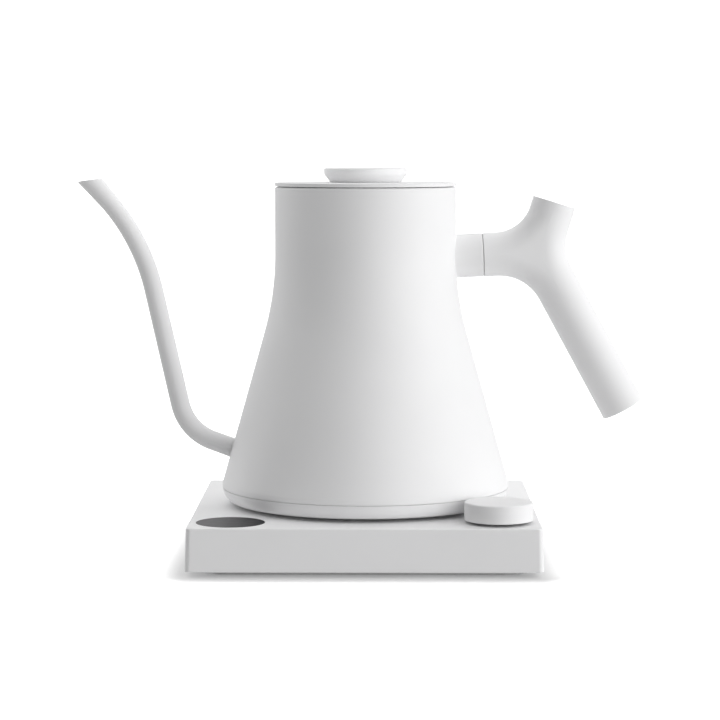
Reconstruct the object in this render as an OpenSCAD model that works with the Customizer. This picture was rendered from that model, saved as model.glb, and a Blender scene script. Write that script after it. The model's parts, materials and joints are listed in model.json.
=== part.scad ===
// Electric gooseneck kettle on its square power base.
// Origin: centre of the base's footprint on the table. +Z up, spout towards -X, handle towards +X,
// display and dial at the front, -Y. Millimetres.

/* [Power base] */
// Width and depth of the base at its lower edge
base_w = 172.5; // [168:0.5:180]
// Height of the base's top face above the table
base_top_z = 24; // [23.5:0.5:25]
// How much each side leans in from the lower edge to the top
base_lean = 0.6; // [0.2:0.1:1.2]
// Wall thickness of the moulded base parts
base_wall = 2.4; // [2:0.1:2.8]
// Distance of the display and the dial from the base's centre lines
control_offset = 65.3; // [64.5:0.1:66.5]
// Radius of the round display window
display_r = 16.8; // [15:0.1:17]
// Radius of the dial
dial_r = 16.8; // [15:0.1:17]
// Height of the dial's rim
dial_h = 9; // [8:0.5:10]
// How far the dial goes down when it is pressed
dial_travel = 0.8; // [0.5:0.1:1]

/* [Vessel] */
// Radius of the straight upper part of the vessel
body_r = 46; // [44:0.5:47]
// Half angle of the vessel's cone
cone_angle = 15.7; // [15:0.1:16.2]
// Height at which the cone's line would meet the straight part
corner_z = 131.7; // [128:0.5:134]
// Radius of the hollow sweep between the cone and the straight part
sweep_r = 147; // [100:1:160]
// Radius of the rounded foot of the vessel
foot_r = 9.5; // [9:0.1:10]
// Height of the seam between the vessel and its bottom housing
foot_seam_z = 33.1; // [32.5:0.1:33.5]
// Height of the vessel's top edge
rim_z = 185.9; // [184:0.5:190]
// Sheet thickness of the vessel
sheet = 1; // [0.8:0.1:1.2]

/* [Lid] */
// Thickness of the lid's top plate
lid_t = 1.85; // [1.5:0.05:2]
// Radius of the lid's knob
knob_r = 21; // [18:0.5:23]
// Height of the lid's knob
knob_h = 7.4; // [6.5:0.1:9]

/* [Spout] */
// Outer radius of the spout's tube
spout_r = 4.85; // [4.6:0.05:5]
// Height of the spout's mouth
spout_tip_z = 190; // [187:0.5:191]

/* [Handle] */
// Radius of the handle's three limbs
handle_r = 11.15; // [10.8:0.05:11.5]
// Radius of the hollow blends where two limbs meet
handle_blend = 20; // [18:0.5:22]
// Length of the grip from the point where the limbs meet
grip_len = 90.8; // [84:0.1:96]
// Lean of the grip from upright
grip_lean = 28.6; // [26:0.1:30]
// Length of the thumb rest from the point where the limbs meet
thumb_len = 26.7; // [25:0.1:28]

/* [Hidden] */
$fn = 96;

// Colours
white = "white";
moulded_black = [0.12, 0.12, 0.13];
steel = "silver";
brass = "goldenrod";
board_green = [0.1, 0.35, 0.2];
rubber = [0.2, 0.2, 0.2];
silicone = [0.85, 0.85, 0.82];

// Running clearance of a shaft in its hole, and the gap between parts that only pass each other
running = 0.05;
free_gap = 0.4;
// A cut reaches this far past the face it opens
past = 1;
// Depth of an embedded joint between two shapes of one piece
bite = 0.5;

// Base
skirt_z = 2.9;
plinth_w = base_w - 19;
plinth_z = 1;
cover_top_z = 5;
cavity_w = base_w - 2 * (base_lean + base_wall);
ceiling_z = base_top_z - base_wall;
corner_r = 2.5;
foot_ring_w = plinth_w - 2;
foot_strip = 8;
foot_ring_t = 1.8;
cover_screw_x = 71;
cover_screw_y = 42;
screw_r = 1.5;
screw_head_r = 2.8;
screw_head_h = 1.7;
small_head_r = 2.2;
small_head_h = 1.2;
gland_z = 12.5;
gland_bore_r = 3.6;
gland_r = 5.4;

// Cordless connector on the axis of the base
hub_r = 15;
hub_collar_r = 17;
hub_flange_r = 25;
hub_flange_t = 2.6;
hub_top_z = 34.5;
hub_floor_z = 9;
hub_hole_r = 17.5;
hub_screw_at = 21.5;
// Distances of the three contacts from the axis, and where the socket's tags stand
contact_at = [0, 4, 9];
tag_y = [0.32 - contact_at[1], contact_at[2] - 0.32];
groove_in = [3, 5];
groove_out = [8, 10];
groove_floor_z = 22;
centre_hole_r = 2.2;
glide_out_r = 23.5;
gap_z = 2;
kettle_z = base_top_z + gap_z;

// Controls
board_z = 12;
board_t = 1.6;
board_top = board_z + board_t;
encoder_w = 12;
encoder_h = 6.5;
encoder_top = board_top + encoder_h;
bush_r = 3.5;
shaft_r = 3;
bush_bore_r = shaft_r + running;
dial_z = base_top_z + dial_travel + 0.7;
lens_t = 1.4;
window_r = 14.5;
display_x = -control_offset;
dial_x = control_offset;
control_y = -control_offset;

// Power board
power_z = 8.5;
power_t = 1.6;
power_top = power_z + power_t;
power_y = 47;
power_size = [112, 40];
terminal_size = [21, 7.5, 8.5];
terminal_y = power_y + power_size[1] / 2 + 1;

// Vessel
cone_k = tan(cone_angle);
foot_cz = foot_seam_z + 0.9;
foot_cr = body_r + (corner_z - foot_cz) * cone_k - foot_r / cos(cone_angle);
sweep_tangent = sweep_r * tan(cone_angle / 2);
sweep_cz = corner_z + sweep_tangent;
sweep_cr = body_r + sweep_r;
mouth_r = 39;
mouth_lip_z = rim_z - 9;
plate_z = 44.5;
plate_t = 1.5;
spreader_t = 4;
element_at = 40;
element_r = 3.2;
housing_floor = 2.2;
socket_ceiling_z = hub_top_z + 1.2;
socket_top_z = socket_ceiling_z + 1.6;
socket_flange_r = 25;
socket_screw_at = 22;
housing_screw_at = 52;
cold_end = [element_at * cos(25), element_at * sin(25), 31.1];

// Lid
lid_gap = 0.35;
lid_z = rim_z + lid_gap;
lid_top_z = lid_z + lid_t;
knob_foot_r = knob_r - 2.8;
knob_under_r = 3.3;
cup_r = mouth_r - 1.6;
cup_wall = 1.8;
cup_depth = 13;

// Spout: two bends between three straight runs in the plane Y = 0
spout_bore_r = spout_r - 0.8;
spout_root = [-66.3, 51.9];
spout_root_angle = 160;
spout_rise_angle = 102.76;
spout_tip_angle = 129;
spout_low_corner = [-91.6, 61.1];
spout_high_corner = [-113.3, 157.2];
spout_low_bend = 26;
spout_high_bend = 104;
bend_step = 0.2;

// Handle: three limbs that meet at one point in the plane Y = 0
limbs_at = [88, 152.7];
arm_angle = 182.6;
thumb_angle = 73;
grip_angle = grip_lean - 90;
seam_x = 59.8;
arm_len = (limbs_at[0] - seam_x) / cos(arm_angle - 180);
// The limbs and their bends differ a little in radius, so that no two surfaces run along each other
arm_r = handle_r - 0.1;
grip_r = handle_r + 0.1;
elbow_r = [handle_r - 0.25, handle_r - 0.35, handle_r - 0.45];
tenon_r = 6;
tenon_past = 7;
cap_t = 2.2;
cap_inset = 0.9;
thumb_bore_r = handle_r - 2.6;
thumb_bore_depth = 12;
grip_bore_r = handle_r - 2.8;
grip_bore_depth = 66;
weight_len = 52;

// A round stretch of an outline, from angle a to angle b about a centre
function arc(c, r, a, b, n) =
    [for (i = [0:n]) let (t = a + (b - a) * i / n) [c[0] + r * cos(t), c[1] + r * sin(t)]];

// The vessel's outline from its seam to a height, moved inwards by a thickness
function vessel_outline(inward, top) =
    let (foot_a = asin((foot_seam_z - foot_cz) / (foot_r - inward)))
    concat(
        arc([foot_cr, foot_cz], foot_r - inward, foot_a, cone_angle, 6),
        arc([sweep_cr, sweep_cz], sweep_r + inward, 180 + cone_angle, 180, 14),
        [[body_r - inward, top]]
    );

// A point on a smooth curve with two ends and two pulling points
function curve_point(p, t) =
    p[0] * pow(1 - t, 3) + p[1] * 3 * t * pow(1 - t, 2) + p[2] * 3 * t * t * (1 - t) + p[3] * pow(t, 3);
function unit(v) = v / norm(v);

// Turns +Z to an angle in the plane Y = 0, counted from +X towards +Z
module towards(angle) { rotate([0, 90 - angle, 0]) children(); }

// A straight round bar in the plane Y = 0
module bar(from, angle, length, r) {
    translate([from[0], 0, from[1]]) towards(angle) cylinder(r = r, h = length);
}

// A bent round bar between two limbs that leave one point at angles a and b, a smaller than b
module elbow(at, a, b, bend, r) {
    half = (b - a) / 2;
    reach = bend / sin(half);
    translate([at[0] + reach * cos(a + half), 0, at[1] + reach * sin(a + half)])
        rotate([90, 0, 0])
            rotate([0, 0, b + 90])
                rotate_extrude(angle = 180 - 2 * half) translate([bend, 0]) circle(r = r);
}

// A ring about the Z axis
module ring(outer, inner, z, h) {
    translate([0, 0, z]) difference() {
        cylinder(r = outer, h = h);
        translate([0, 0, -past]) cylinder(r = inner, h = h + 2 * past);
    }
}

// A round insulated lead along a smooth curve
module lead(p, r) {
    sides = 8;
    steps = 14;
    centres = [for (i = [0:steps]) curve_point(p, i / steps)];
    rings = [for (i = [0:steps])
        let (
            ahead = unit(centres[min(i + 1, steps)] - centres[max(i - 1, 0)]),
            side = unit(cross(ahead, [0.31, 0.17, 0.93])),
            up = cross(side, ahead)
        )
        for (k = [0:sides - 1])
            centres[i] + r * (side * cos(k * 360 / sides) + up * sin(k * 360 / sides))];
    walls = [for (i = [0:steps - 1], k = [0:sides - 1])
        let (a = i * sides + k, b = i * sides + (k + 1) % sides)
        [a, b, b + sides, a + sides]];
    ends = [
        [for (k = [sides - 1:-1:0]) k],
        [for (k = [0:sides - 1]) steps * sides + k]
    ];
    polyhedron(points = rings, faces = concat(walls, ends), convexity = 4);
}

// A pan-head screw that points up from z, with its head below
module screw_up(length, r = screw_r, head_r = screw_head_r, head_h = screw_head_h) {
    difference() {
        cylinder(r = head_r, h = head_h);
        translate([0, 0, -past]) cylinder(r = 1.2, h = past + 1, $fn = 6);
    }
    translate([0, 0, head_h - bite]) cylinder(r = r, h = length + bite);
}

module at_cover_screws() {
    for (x = [-1, 1], y = [-1, 1]) translate([x * cover_screw_x, y * cover_screw_y, 0]) children();
}

// A square frame lying flat, with its outer width, the width of its strip and its height
module square_frame(outer, strip, h) {
    inner = outer - 2 * strip;
    difference() {
        translate([-outer / 2, -outer / 2, 0]) cube([outer, outer, h]);
        translate([-inner / 2, -inner / 2, -past]) cube([inner, inner, h + 2 * past]);
    }
}

module at_hub_screws() {
    for (a = [30, 150, 270]) rotate([0, 0, a]) translate([hub_screw_at, 0, 0]) children();
}

module at_board_screws() {
    for (x = [-38, 0, 38]) translate([x, -74, 0]) children();
}

module at_power_screws() {
    for (x = [-52, 52], y = [-16, 16]) translate([x, power_y + y, 0]) children();
}

module at_socket_screws() {
    for (a = [90, 210, 330]) rotate([0, 0, a]) translate([socket_screw_at, 0, 0]) children();
}

module at_housing_screws() {
    for (a = [60, 180, 300]) rotate([0, 0, a]) translate([housing_screw_at, 0, 0]) children();
}

// The base's outer block, leaning in towards its top
module base_block() {
    low = base_w / 2 - corner_r;
    high = low - base_lean;
    hull() {
        for (x = [-1, 1], y = [-1, 1]) {
            translate([x * low, y * low, skirt_z]) cylinder(r = corner_r, h = 0.1, $fn = 32);
            translate([x * high, y * high, base_top_z - 0.1]) cylinder(r = corner_r, h = 0.1, $fn = 32);
        }
    }
}

module base_shell() {
    boss_r = 3.6;
    color(white) difference() {
        union() {
            difference() {
                base_block();
                translate([-cavity_w / 2, -cavity_w / 2, -past])
                    cube([cavity_w, cavity_w, ceiling_z + past]);
            }
            at_cover_screws() translate([0, 0, cover_top_z + 0.1])
                cylinder(r = boss_r, h = ceiling_z - cover_top_z);
            at_board_screws() translate([0, 0, board_top + 0.1])
                cylinder(r = 3, h = ceiling_z - board_top);
        }
        // Holes for the cordless connector, the dial and the display window
        translate([0, 0, ceiling_z - past]) cylinder(r = hub_hole_r, h = base_wall + 2 * past);
        at_hub_screws() translate([0, 0, ceiling_z - past]) cylinder(r = 1.2, h = past + 1.6);
        hole_h = base_wall + 2 * past;
        translate([dial_x, control_y, ceiling_z - past]) cylinder(r = bush_r + 0.2, h = hole_h);
        translate([display_x, control_y, ceiling_z - past]) cylinder(r = window_r, h = hole_h);
        translate([display_x, control_y, base_top_z - lens_t])
            cylinder(r = display_r + 0.1, h = lens_t + past);
        at_cover_screws() translate([0, 0, cover_top_z - past]) cylinder(r = screw_r, h = 13);
        at_board_screws() translate([0, 0, board_top - past]) cylinder(r = 1.1, h = 8);
        // Hole for the cord gland in the rear wall
        translate([0, base_w / 2 + past, gland_z]) rotate([90, 0, 0]) cylinder(r = gland_r + 0.05, h = 8);
    }
}

module base_bottom_cover() {
    plate_w = cavity_w - 2 * free_gap;
    color(moulded_black) difference() {
        union() {
            translate([-plate_w / 2, -plate_w / 2, skirt_z])
                cube([plate_w, plate_w, cover_top_z - skirt_z]);
            translate([-plinth_w / 2, -plinth_w / 2, plinth_z])
                cube([plinth_w, plinth_w, skirt_z - plinth_z + bite]);
            at_power_screws() translate([0, 0, cover_top_z - bite])
                cylinder(r = 3, h = power_z - cover_top_z + bite - 0.05);
        }
        translate([0, 0, plinth_z - past])
            square_frame(foot_ring_w + 0.2, foot_strip + 0.2, foot_ring_t - plinth_z + past + 0.05);
        at_cover_screws() translate([0, 0, plinth_z]) cylinder(r = screw_head_r + 0.2, h = 2.7);
        at_cover_screws() translate([0, 0, plinth_z]) cylinder(r = screw_r + 0.2, h = 6);
        at_power_screws() translate([0, 0, cover_top_z - 1.5]) cylinder(r = 1.1, h = 6);
    }
}

// One rubber frame under the plinth, over the heads of the screws
module base_foot_ring() {
    color(rubber) square_frame(foot_ring_w, foot_strip, foot_ring_t);
}

module base_cover_screws() {
    color(steel) at_cover_screws() translate([0, 0, foot_ring_t + 0.15]) screw_up(10, r = screw_r - 0.1);
}

module cord_gland() {
    wall_y = base_w / 2 - base_lean / 2;
    color(moulded_black) translate([0, wall_y, gland_z]) rotate([90, 0, 0]) difference() {
        union() {
            translate([0, 0, -0.3]) cylinder(r = gland_r, h = 9);
            translate([0, 0, -1.5]) cylinder(r1 = gland_r + 0.6, r2 = gland_r + 1.4, h = 1.2);
            translate([0, 0, base_wall + 0.5]) cylinder(r = gland_r + 1.4, h = 2);
        }
        translate([0, 0, -past - 2]) cylinder(r = gland_bore_r, h = 20);
    }
}

// The fixed half of the cordless connector: a boss with two ring grooves and a centre hole
module connector_hub() {
    color(moulded_black) difference() {
        union() {
            translate([0, 0, hub_floor_z]) cylinder(r = hub_r, h = hub_top_z - 1 - hub_floor_z);
            translate([0, 0, hub_top_z - 1]) cylinder(r1 = hub_r, r2 = hub_r - 1, h = 1);
            translate([0, 0, ceiling_z - bite]) cylinder(r = hub_collar_r, h = base_wall + 0.6 + bite);
            translate([0, 0, ceiling_z - hub_flange_t - 0.6]) cylinder(r = hub_flange_r, h = hub_flange_t);
        }
        ring(groove_in[1], groove_in[0], groove_floor_z, 20);
        ring(groove_out[1], groove_out[0], groove_floor_z, 20);
        translate([0, 0, groove_floor_z]) cylinder(r = centre_hole_r, h = 20);
        at_hub_screws() translate([0, 0, hub_floor_z]) cylinder(r = screw_r + 0.1, h = 20);
        for (x = contact_at) translate([x, 0, hub_floor_z - past]) cylinder(r = 0.8, h = past + 6);
    }
}

// Centre contact and two ring contacts, each with its tail through the hub's floor
module hub_contacts() {
    color(brass) {
        translate([0, 0, groove_floor_z + 0.1]) difference() {
            cylinder(r = centre_hole_r - 0.1, h = 9);
            translate([0, 0, bite]) cylinder(r = 1.55, h = 10);
        }
        ring(groove_in[1] - 0.1, groove_in[1] - 0.45, groove_floor_z + 0.1, 11);
        ring(groove_out[1] - 0.1, groove_out[1] - 0.45, groove_floor_z + 0.1, 11);
        for (x = contact_at) translate([x, 0, hub_floor_z - 3]) cylinder(r = 0.7, h = 8.8);
    }
}

module hub_seal() {
    color(silicone) ring(hub_screw_at - 1.5, hub_hole_r, ceiling_z - 0.55, 0.5);
}

module hub_screws() {
    head_z = ceiling_z - hub_flange_t - 0.65 - small_head_h;
    color(steel) at_hub_screws() translate([0, 0, head_z]) screw_up(4.6, 1.1, small_head_r, small_head_h);
}

module display_lens() {
    color(moulded_black) translate([display_x, control_y, base_top_z - lens_t + 0.05])
        cylinder(r = display_r, h = lens_t - 0.05);
}

module display_panel() {
    color([0.05, 0.05, 0.06]) translate([display_x, control_y, ceiling_z - 2]) difference() {
        cylinder(r = window_r - 0.5, h = 2.6);
        translate([0, 0, 2]) cylinder(r = window_r - 2.5, h = 2);
    }
}

module display_holder() {
    color(moulded_black) translate([display_x, control_y, 0]) {
        ring(window_r - 1, window_r - 3, board_top + 0.05, ceiling_z - 2.1 - board_top);
        ring(window_r + 1, window_r - 3, board_top + 0.05, 1.2);
    }
}

module control_board() {
    w = 2 * control_offset + 30;
    color(board_green) difference() {
        translate([-w / 2, control_y - 15, board_z]) cube([w, 30, board_t]);
        at_board_screws() translate([0, 0, board_z - past]) cylinder(r = screw_r, h = board_t + 2 * past);
    }
}

module control_board_screws() {
    color(steel) at_board_screws() translate([0, 0, board_z - small_head_h - 0.1])
        screw_up(6, 1, small_head_r, small_head_h);
}

// The rotary encoder's fixed case and its threaded bush
module dial_encoder() {
    color(steel) translate([dial_x, control_y, 0]) difference() {
        union() {
            translate([-encoder_w / 2, -encoder_w / 2, board_top + 0.05])
                cube([encoder_w, encoder_w, encoder_h]);
            translate([0, 0, encoder_top - bite])
                cylinder(r = bush_r, h = base_top_z + 0.5 - encoder_top + bite);
        }
        translate([0, 0, board_top + 1]) cylinder(r = 4.4, h = encoder_h - 2);
        translate([0, 0, board_top + 1]) cylinder(r = bush_bore_r, h = 20);
    }
}

// The domed spring that clicks and pushes the dial back up
module switch_dome() {
    color(brass) translate([dial_x, control_y, board_top + 1.1]) difference() {
        cylinder(r1 = 3.2, r2 = 1.6, h = 1.2);
        translate([0, 0, -0.2]) cylinder(r1 = 3.2, r2 = 1.6, h = 1.2);
    }
}

module power_board() {
    color(board_green) difference() {
        translate([-power_size[0] / 2, power_y - power_size[1] / 2, power_z])
            cube([power_size[0], power_size[1], power_t]);
        at_power_screws() translate([0, 0, power_z - past]) cylinder(r = screw_r, h = power_t + 2 * past);
    }
}

module power_board_screws() {
    color(steel) at_power_screws() translate([0, 0, power_top + 1.25]) mirror([0, 0, 1])
        screw_up(3.6, 1, small_head_r, small_head_h);
}

module supply_transformer() {
    color("khaki") translate([-42, power_y - 9, power_top + 0.05]) {
        cube([20, 18, 9.5]);
        translate([-2, 4, 1]) cube([24, 10, 7.5]);
    }
}

module supply_capacitors() {
    color([0.1, 0.15, 0.3]) for (i = [0:1])
        translate([-14, power_y - 8 + i * 11, power_top + 4.3]) rotate([0, 90, 0]) cylinder(r = 4, h = 14);
}

module power_relay() {
    color([0.15, 0.2, 0.45]) translate([12, power_y - 12, power_top + 0.05]) cube([19, 15.5, 10]);
}

module mains_fuse() {
    color(steel) translate([10, power_y + 11, power_top + 3]) rotate([0, 90, 0]) {
        cylinder(r = 2.6, h = 5);
        translate([0, 0, 4.5]) cylinder(r = 2.3, h = 11);
        translate([0, 0, 15]) cylinder(r = 2.6, h = 5);
    }
}

// Block that joins the mains cord's three conductors to the leads inside
module terminal_block() {
    size = terminal_size;
    color("ivory") translate([-size[0] / 2, terminal_y, cover_top_z + 0.05]) difference() {
        cube(size);
        for (i = [0:2]) translate([3.5 + i * 7, 0, 0]) {
            translate([0, -past, 5]) rotate([-90, 0, 0]) cylinder(r = 1.3, h = size[1] + 2 * past);
            translate([0, size[1] / 2, 5]) cylinder(r = 1.8, h = 5);
        }
    }
}

// Three leads that arch from the terminal block to the power board
module mains_leads() {
    arch_r = 4.2;
    arch_z = cover_top_z + 10;
    arch_y = terminal_y + terminal_size[1] / 2 - arch_r;
    color([0.35, 0.25, 0.15]) for (x = [-7, 0, 7]) translate([x, arch_y, 0]) {
        translate([0, 0, arch_z]) rotate([90, 0, 90])
            rotate_extrude(angle = 180) translate([arch_r, 0]) circle(r = 0.75);
        translate([0, arch_r, cover_top_z + 5.4]) cylinder(r = 0.9, h = arch_z - cover_top_z - 5.4 + bite);
        translate([0, -arch_r, power_top + 0.1]) cylinder(r = 0.9, h = arch_z - power_top - 0.1 + bite);
    }
}

// Leads from the power board to the tails of the hub's contacts
module connector_leads() {
    color([0.6, 0.1, 0.1]) for (i = [0:2])
        lead([
            [14 + i * 4, power_y - 18.5, power_top + 0.9],
            [14 + i * 4, power_y - 26, power_top + 6],
            [contact_at[i] + 1, 22, 6.2],
            [contact_at[i], 1.7, 6.9]
        ], 0.9);
}

// Flat cable between the two boards, past the left side of the hub, with a plug at each end
module ribbon_cable() {
    low = 9.3;
    t = 0.8;
    front = control_y + 12;
    back = power_y - 16;
    color("gray") translate([-46, 0, 0]) rotate([90, 0, 90]) linear_extrude(12) polygon([
        [front, board_z - 0.05], [front, low], [back - 10, low], [back - 2, power_top + 1.5],
        [back - 2, power_top + 0.05], [back + 3, power_top + 0.05], [back + 3, power_top + 3],
        [back - 2, power_top + 3], [back - 2, power_top + 1.5 + t], [back - 10.4, low + t],
        [front + 4, low + t], [front + 4, board_z - 0.05]
    ]);
}

// The ring that carries the kettle and turns with it about the hub
module glide_ring() {
    color("gainsboro") ring(glide_out_r, hub_collar_r + running, base_top_z + 0.05, gap_z - 0.1);
}

// The slider under the dial's shaft: it goes down on the dome but doesn't turn
module switch_slider() {
    color("ivory") translate([dial_x, control_y, 0]) {
        translate([0, 0, board_top + 2.4]) cylinder(r = 1.4, h = 0.7);
        translate([0, 0, board_top + 3]) cylinder(r = 2.8, h = 0.6);
    }
}

module encoder_shaft() {
    color(steel) translate([dial_x, control_y, 0]) {
        translate([0, 0, board_top + 3.65]) cylinder(r = 4, h = 0.6);
        translate([0, 0, board_top + 4.1])
            cylinder(r = shaft_r, h = dial_z + dial_h - 2.5 - board_top - 4.1);
    }
}

module dial_knob() {
    edge = 0.5;
    color(white) translate([dial_x, control_y, dial_z]) difference() {
        rotate_extrude() polygon(concat(
            [[0, 0], [dial_r - edge, 0]],
            arc([dial_r - edge, edge], edge, -90, 0, 3),
            arc([dial_r - edge, dial_h - edge], edge, 0, 90, 3),
            [[0, dial_h]]
        ));
        translate([0, 0, -past]) cylinder(r = 10, h = past + 1.4);
        translate([0, 0, -past]) cylinder(r = shaft_r + 0.02, h = dial_h + past - 2.4);
        // Hollow under the rim, around the central sleeve
        ring(dial_r - 2.4, 6, -past, dial_h + past - 3);
    }
}

// The vessel: one drawn and painted sheet-steel wall with a turned-in mouth
module kettle_body() {
    outer = vessel_outline(0, rim_z);
    inner = vessel_outline(sheet, rim_z - sheet);
    back = [for (i = [len(inner) - 1:-1:0]) inner[i]];
    color(white) difference() {
        rotate_extrude() polygon(concat(
            outer,
            [
                [mouth_r, rim_z], [mouth_r, mouth_lip_z],
                [mouth_r + sheet, mouth_lip_z], [mouth_r + sheet, rim_z - sheet]
            ],
            back
        ));
        // Hole in which the spout is welded
        bar(spout_root + 6 * [cos(spout_root_angle + 180), sin(spout_root_angle + 180)],
            spout_root_angle, 20, spout_r + 0.02);
    }
}

// The spout's run as a solid of the given radius, longer at both ends by an allowance.
// The straight runs bite into the bends, which are a little thinner, so that they enclose their ends
module spout_run(r, extra) {
    low_half = (180 - (spout_root_angle - spout_rise_angle)) / 2;
    high_half = (180 - (spout_tip_angle - spout_rise_angle)) / 2;
    low_tangent = spout_low_bend / tan(low_half);
    high_tangent = spout_high_bend / tan(high_half);
    rise = spout_high_corner - spout_low_corner;
    root_run = norm(spout_low_corner - spout_root) - low_tangent;
    start = spout_root - extra * [cos(spout_root_angle), sin(spout_root_angle)];
    bend_r = r - bend_step;
    bar(start, spout_root_angle, root_run + extra + bite, r);
    elbow(spout_low_corner, spout_root_angle - 180, spout_rise_angle, spout_low_bend, bend_r);
    rise_run = norm(rise) - low_tangent - high_tangent + 2 * bite;
    bar(spout_low_corner + (low_tangent - bite) * unit(rise), spout_rise_angle, rise_run, r);
    elbow(spout_high_corner, spout_tip_angle, spout_rise_angle + 180, spout_high_bend, bend_r);
    tip = [cos(spout_tip_angle), sin(spout_tip_angle)];
    tip_start = spout_high_corner + (high_tangent - bite) * tip;
    tip_run = (spout_tip_z - tip_start[1]) / sin(spout_tip_angle) + r * 2;
    bar(tip_start, spout_tip_angle, tip_run + extra, r);
}

module spout() {
    color(white) difference() {
        spout_run(spout_r, 0);
        spout_run(spout_bore_r, 2);
        // The mouth is cut level
        translate([spout_high_corner[0] - 60, -20, spout_tip_z]) cube([80, 40, 40]);
    }
}

// The steel stub welded to the vessel, with the tenon that the handle slides over
module handle_stub() {
    arm = [cos(arm_angle), sin(arm_angle)];
    color(white) difference() {
        union() {
            bar(limbs_at + (arm_len + 0.15) * arm, arm_angle, 18, arm_r);
            bar(limbs_at - tenon_past * arm, arm_angle, arm_len + tenon_past + bite, tenon_r);
        }
        rotate_extrude() polygon(concat([[0, foot_seam_z]], vessel_outline(-0.02, rim_z), [[0, rim_z]]));
        // Threaded cross hole for the handle's screw
        bar(limbs_at - 12 * [cos(thumb_angle), sin(thumb_angle)], thumb_angle, 24, 2.1);
    }
}

module handle() {
    bend = handle_blend + handle_r;
    arm = [cos(arm_angle), sin(arm_angle)];
    thumb = [cos(thumb_angle), sin(thumb_angle)];
    grip = [cos(grip_angle), sin(grip_angle)];
    color(white) difference() {
        union() {
            bar(limbs_at, arm_angle, arm_len, arm_r);
            bar(limbs_at, thumb_angle, thumb_len, handle_r);
            bar(limbs_at, grip_angle, grip_len, grip_r);
            elbow(limbs_at, thumb_angle, arm_angle, bend, elbow_r[0]);
            elbow(limbs_at, arm_angle, grip_angle + 360, bend, elbow_r[1]);
            elbow(limbs_at, grip_angle, thumb_angle, bend, elbow_r[2]);
        }
        // Bores: for the tenon, for the screw under the thumb cap, and for the counterweight
        bar(limbs_at - (tenon_past + 0.3) * arm, arm_angle, arm_len + tenon_past + 2, tenon_r + running);
        bar(limbs_at, thumb_angle, thumb_len + past, 2.3);
        bar(limbs_at + (thumb_len - thumb_bore_depth) * thumb, thumb_angle, thumb_bore_depth + past,
            thumb_bore_r);
        bar(limbs_at + (grip_len - grip_bore_depth) * grip, grip_angle, grip_bore_depth + past,
            grip_bore_r);
        // Seats of the two end caps
        bar(limbs_at + (thumb_len - cap_t) * thumb, thumb_angle, cap_t + past, handle_r - cap_inset);
        bar(limbs_at + (grip_len - cap_t) * grip, grip_angle, cap_t + past, handle_r - cap_inset);
    }
}

// Cross screw from the thumb end, through the handle and into the tenon
module handle_screw() {
    head_at = thumb_len - thumb_bore_depth;
    thumb = [cos(thumb_angle), sin(thumb_angle)];
    color(steel) difference() {
        union() {
            bar(limbs_at - 5 * thumb, thumb_angle, head_at + 5.4, 2);
            bar(limbs_at + (head_at + 0.05) * thumb, thumb_angle, 3, 3.6);
        }
        translate([limbs_at[0], 0, limbs_at[1]]) towards(thumb_angle)
            translate([0, 0, head_at + 1.4]) cylinder(r = 1.7, h = 3, $fn = 6);
    }
}

module thumb_cap() {
    color(white) bar(limbs_at + (thumb_len - cap_t + 0.05) * [cos(thumb_angle), sin(thumb_angle)],
        thumb_angle, cap_t - 0.25, handle_r - cap_inset - 0.05);
}

module grip_cap() {
    color(white) bar(limbs_at + (grip_len - cap_t + 0.05) * [cos(grip_angle), sin(grip_angle)],
        grip_angle, cap_t - 0.05, handle_r - cap_inset - 0.05);
}

module counterweight() {
    color(steel) bar(limbs_at + (grip_len - grip_bore_depth + 2) * [cos(grip_angle), sin(grip_angle)],
        grip_angle, weight_len, grip_bore_r - 0.1);
}

// The stainless floor of the vessel
module heating_plate() {
    edge_r = foot_cr + (foot_r - sheet) / cos(cone_angle) - (plate_z + plate_t - foot_cz) * cone_k - 0.1;
    color(steel) difference() {
        translate([0, 0, plate_z]) cylinder(r = edge_r, h = plate_t);
        translate([0, 0, plate_z - past]) cylinder(r = 3.2, h = plate_t + 2 * past);
    }
}

module heat_spreader() {
    color("lightgray") ring(58, 9, plate_z - spreader_t - 0.05, spreader_t);
}

// Tubular heater under the spreader: most of a turn, with its two cold ends turned down
module heating_element() {
    z = plate_z - spreader_t - element_r - 0.1;
    color("dimgray") {
        translate([0, 0, z]) rotate([0, 0, 25])
            rotate_extrude(angle = 310) translate([element_at, 0]) circle(r = element_r);
        for (a = [25, 335]) rotate([0, 0, a]) translate([element_at, 0, z - 4]) {
            sphere(r = 1.4);
            translate([0, 0, -1.2]) cylinder(r = 1.3, h = 4);
        }
    }
}

module temperature_probe() {
    color(steel) {
        translate([0, 0, plate_z - 4.4]) cylinder(r = 2, h = 13.4);
        translate([0, 0, plate_z + 9]) sphere(r = 2.02);
        translate([0, 0, plate_z - 3.65]) cylinder(r = 3.6, h = 1.5);
    }
}

module probe_seal() {
    color(silicone) {
        ring(3.1, 2.05, plate_z - 0.5, plate_t + 1);
        ring(5.2, 2.05, plate_z + plate_t + 0.05, 1.6);
        ring(5.2, 2.05, plate_z - 2.1, 2.05);
    }
}

// Two snap-disc cut-outs that stop a dry kettle
module thermal_cutout() {
    color("tan") for (a = [120, 240]) rotate([0, 0, a]) translate([27, 0, plate_z - spreader_t - 5.1]) {
        cylinder(r = 7, h = 5);
        translate([0, 0, -2]) cylinder(r = 4, h = 3);
    }
}

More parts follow.
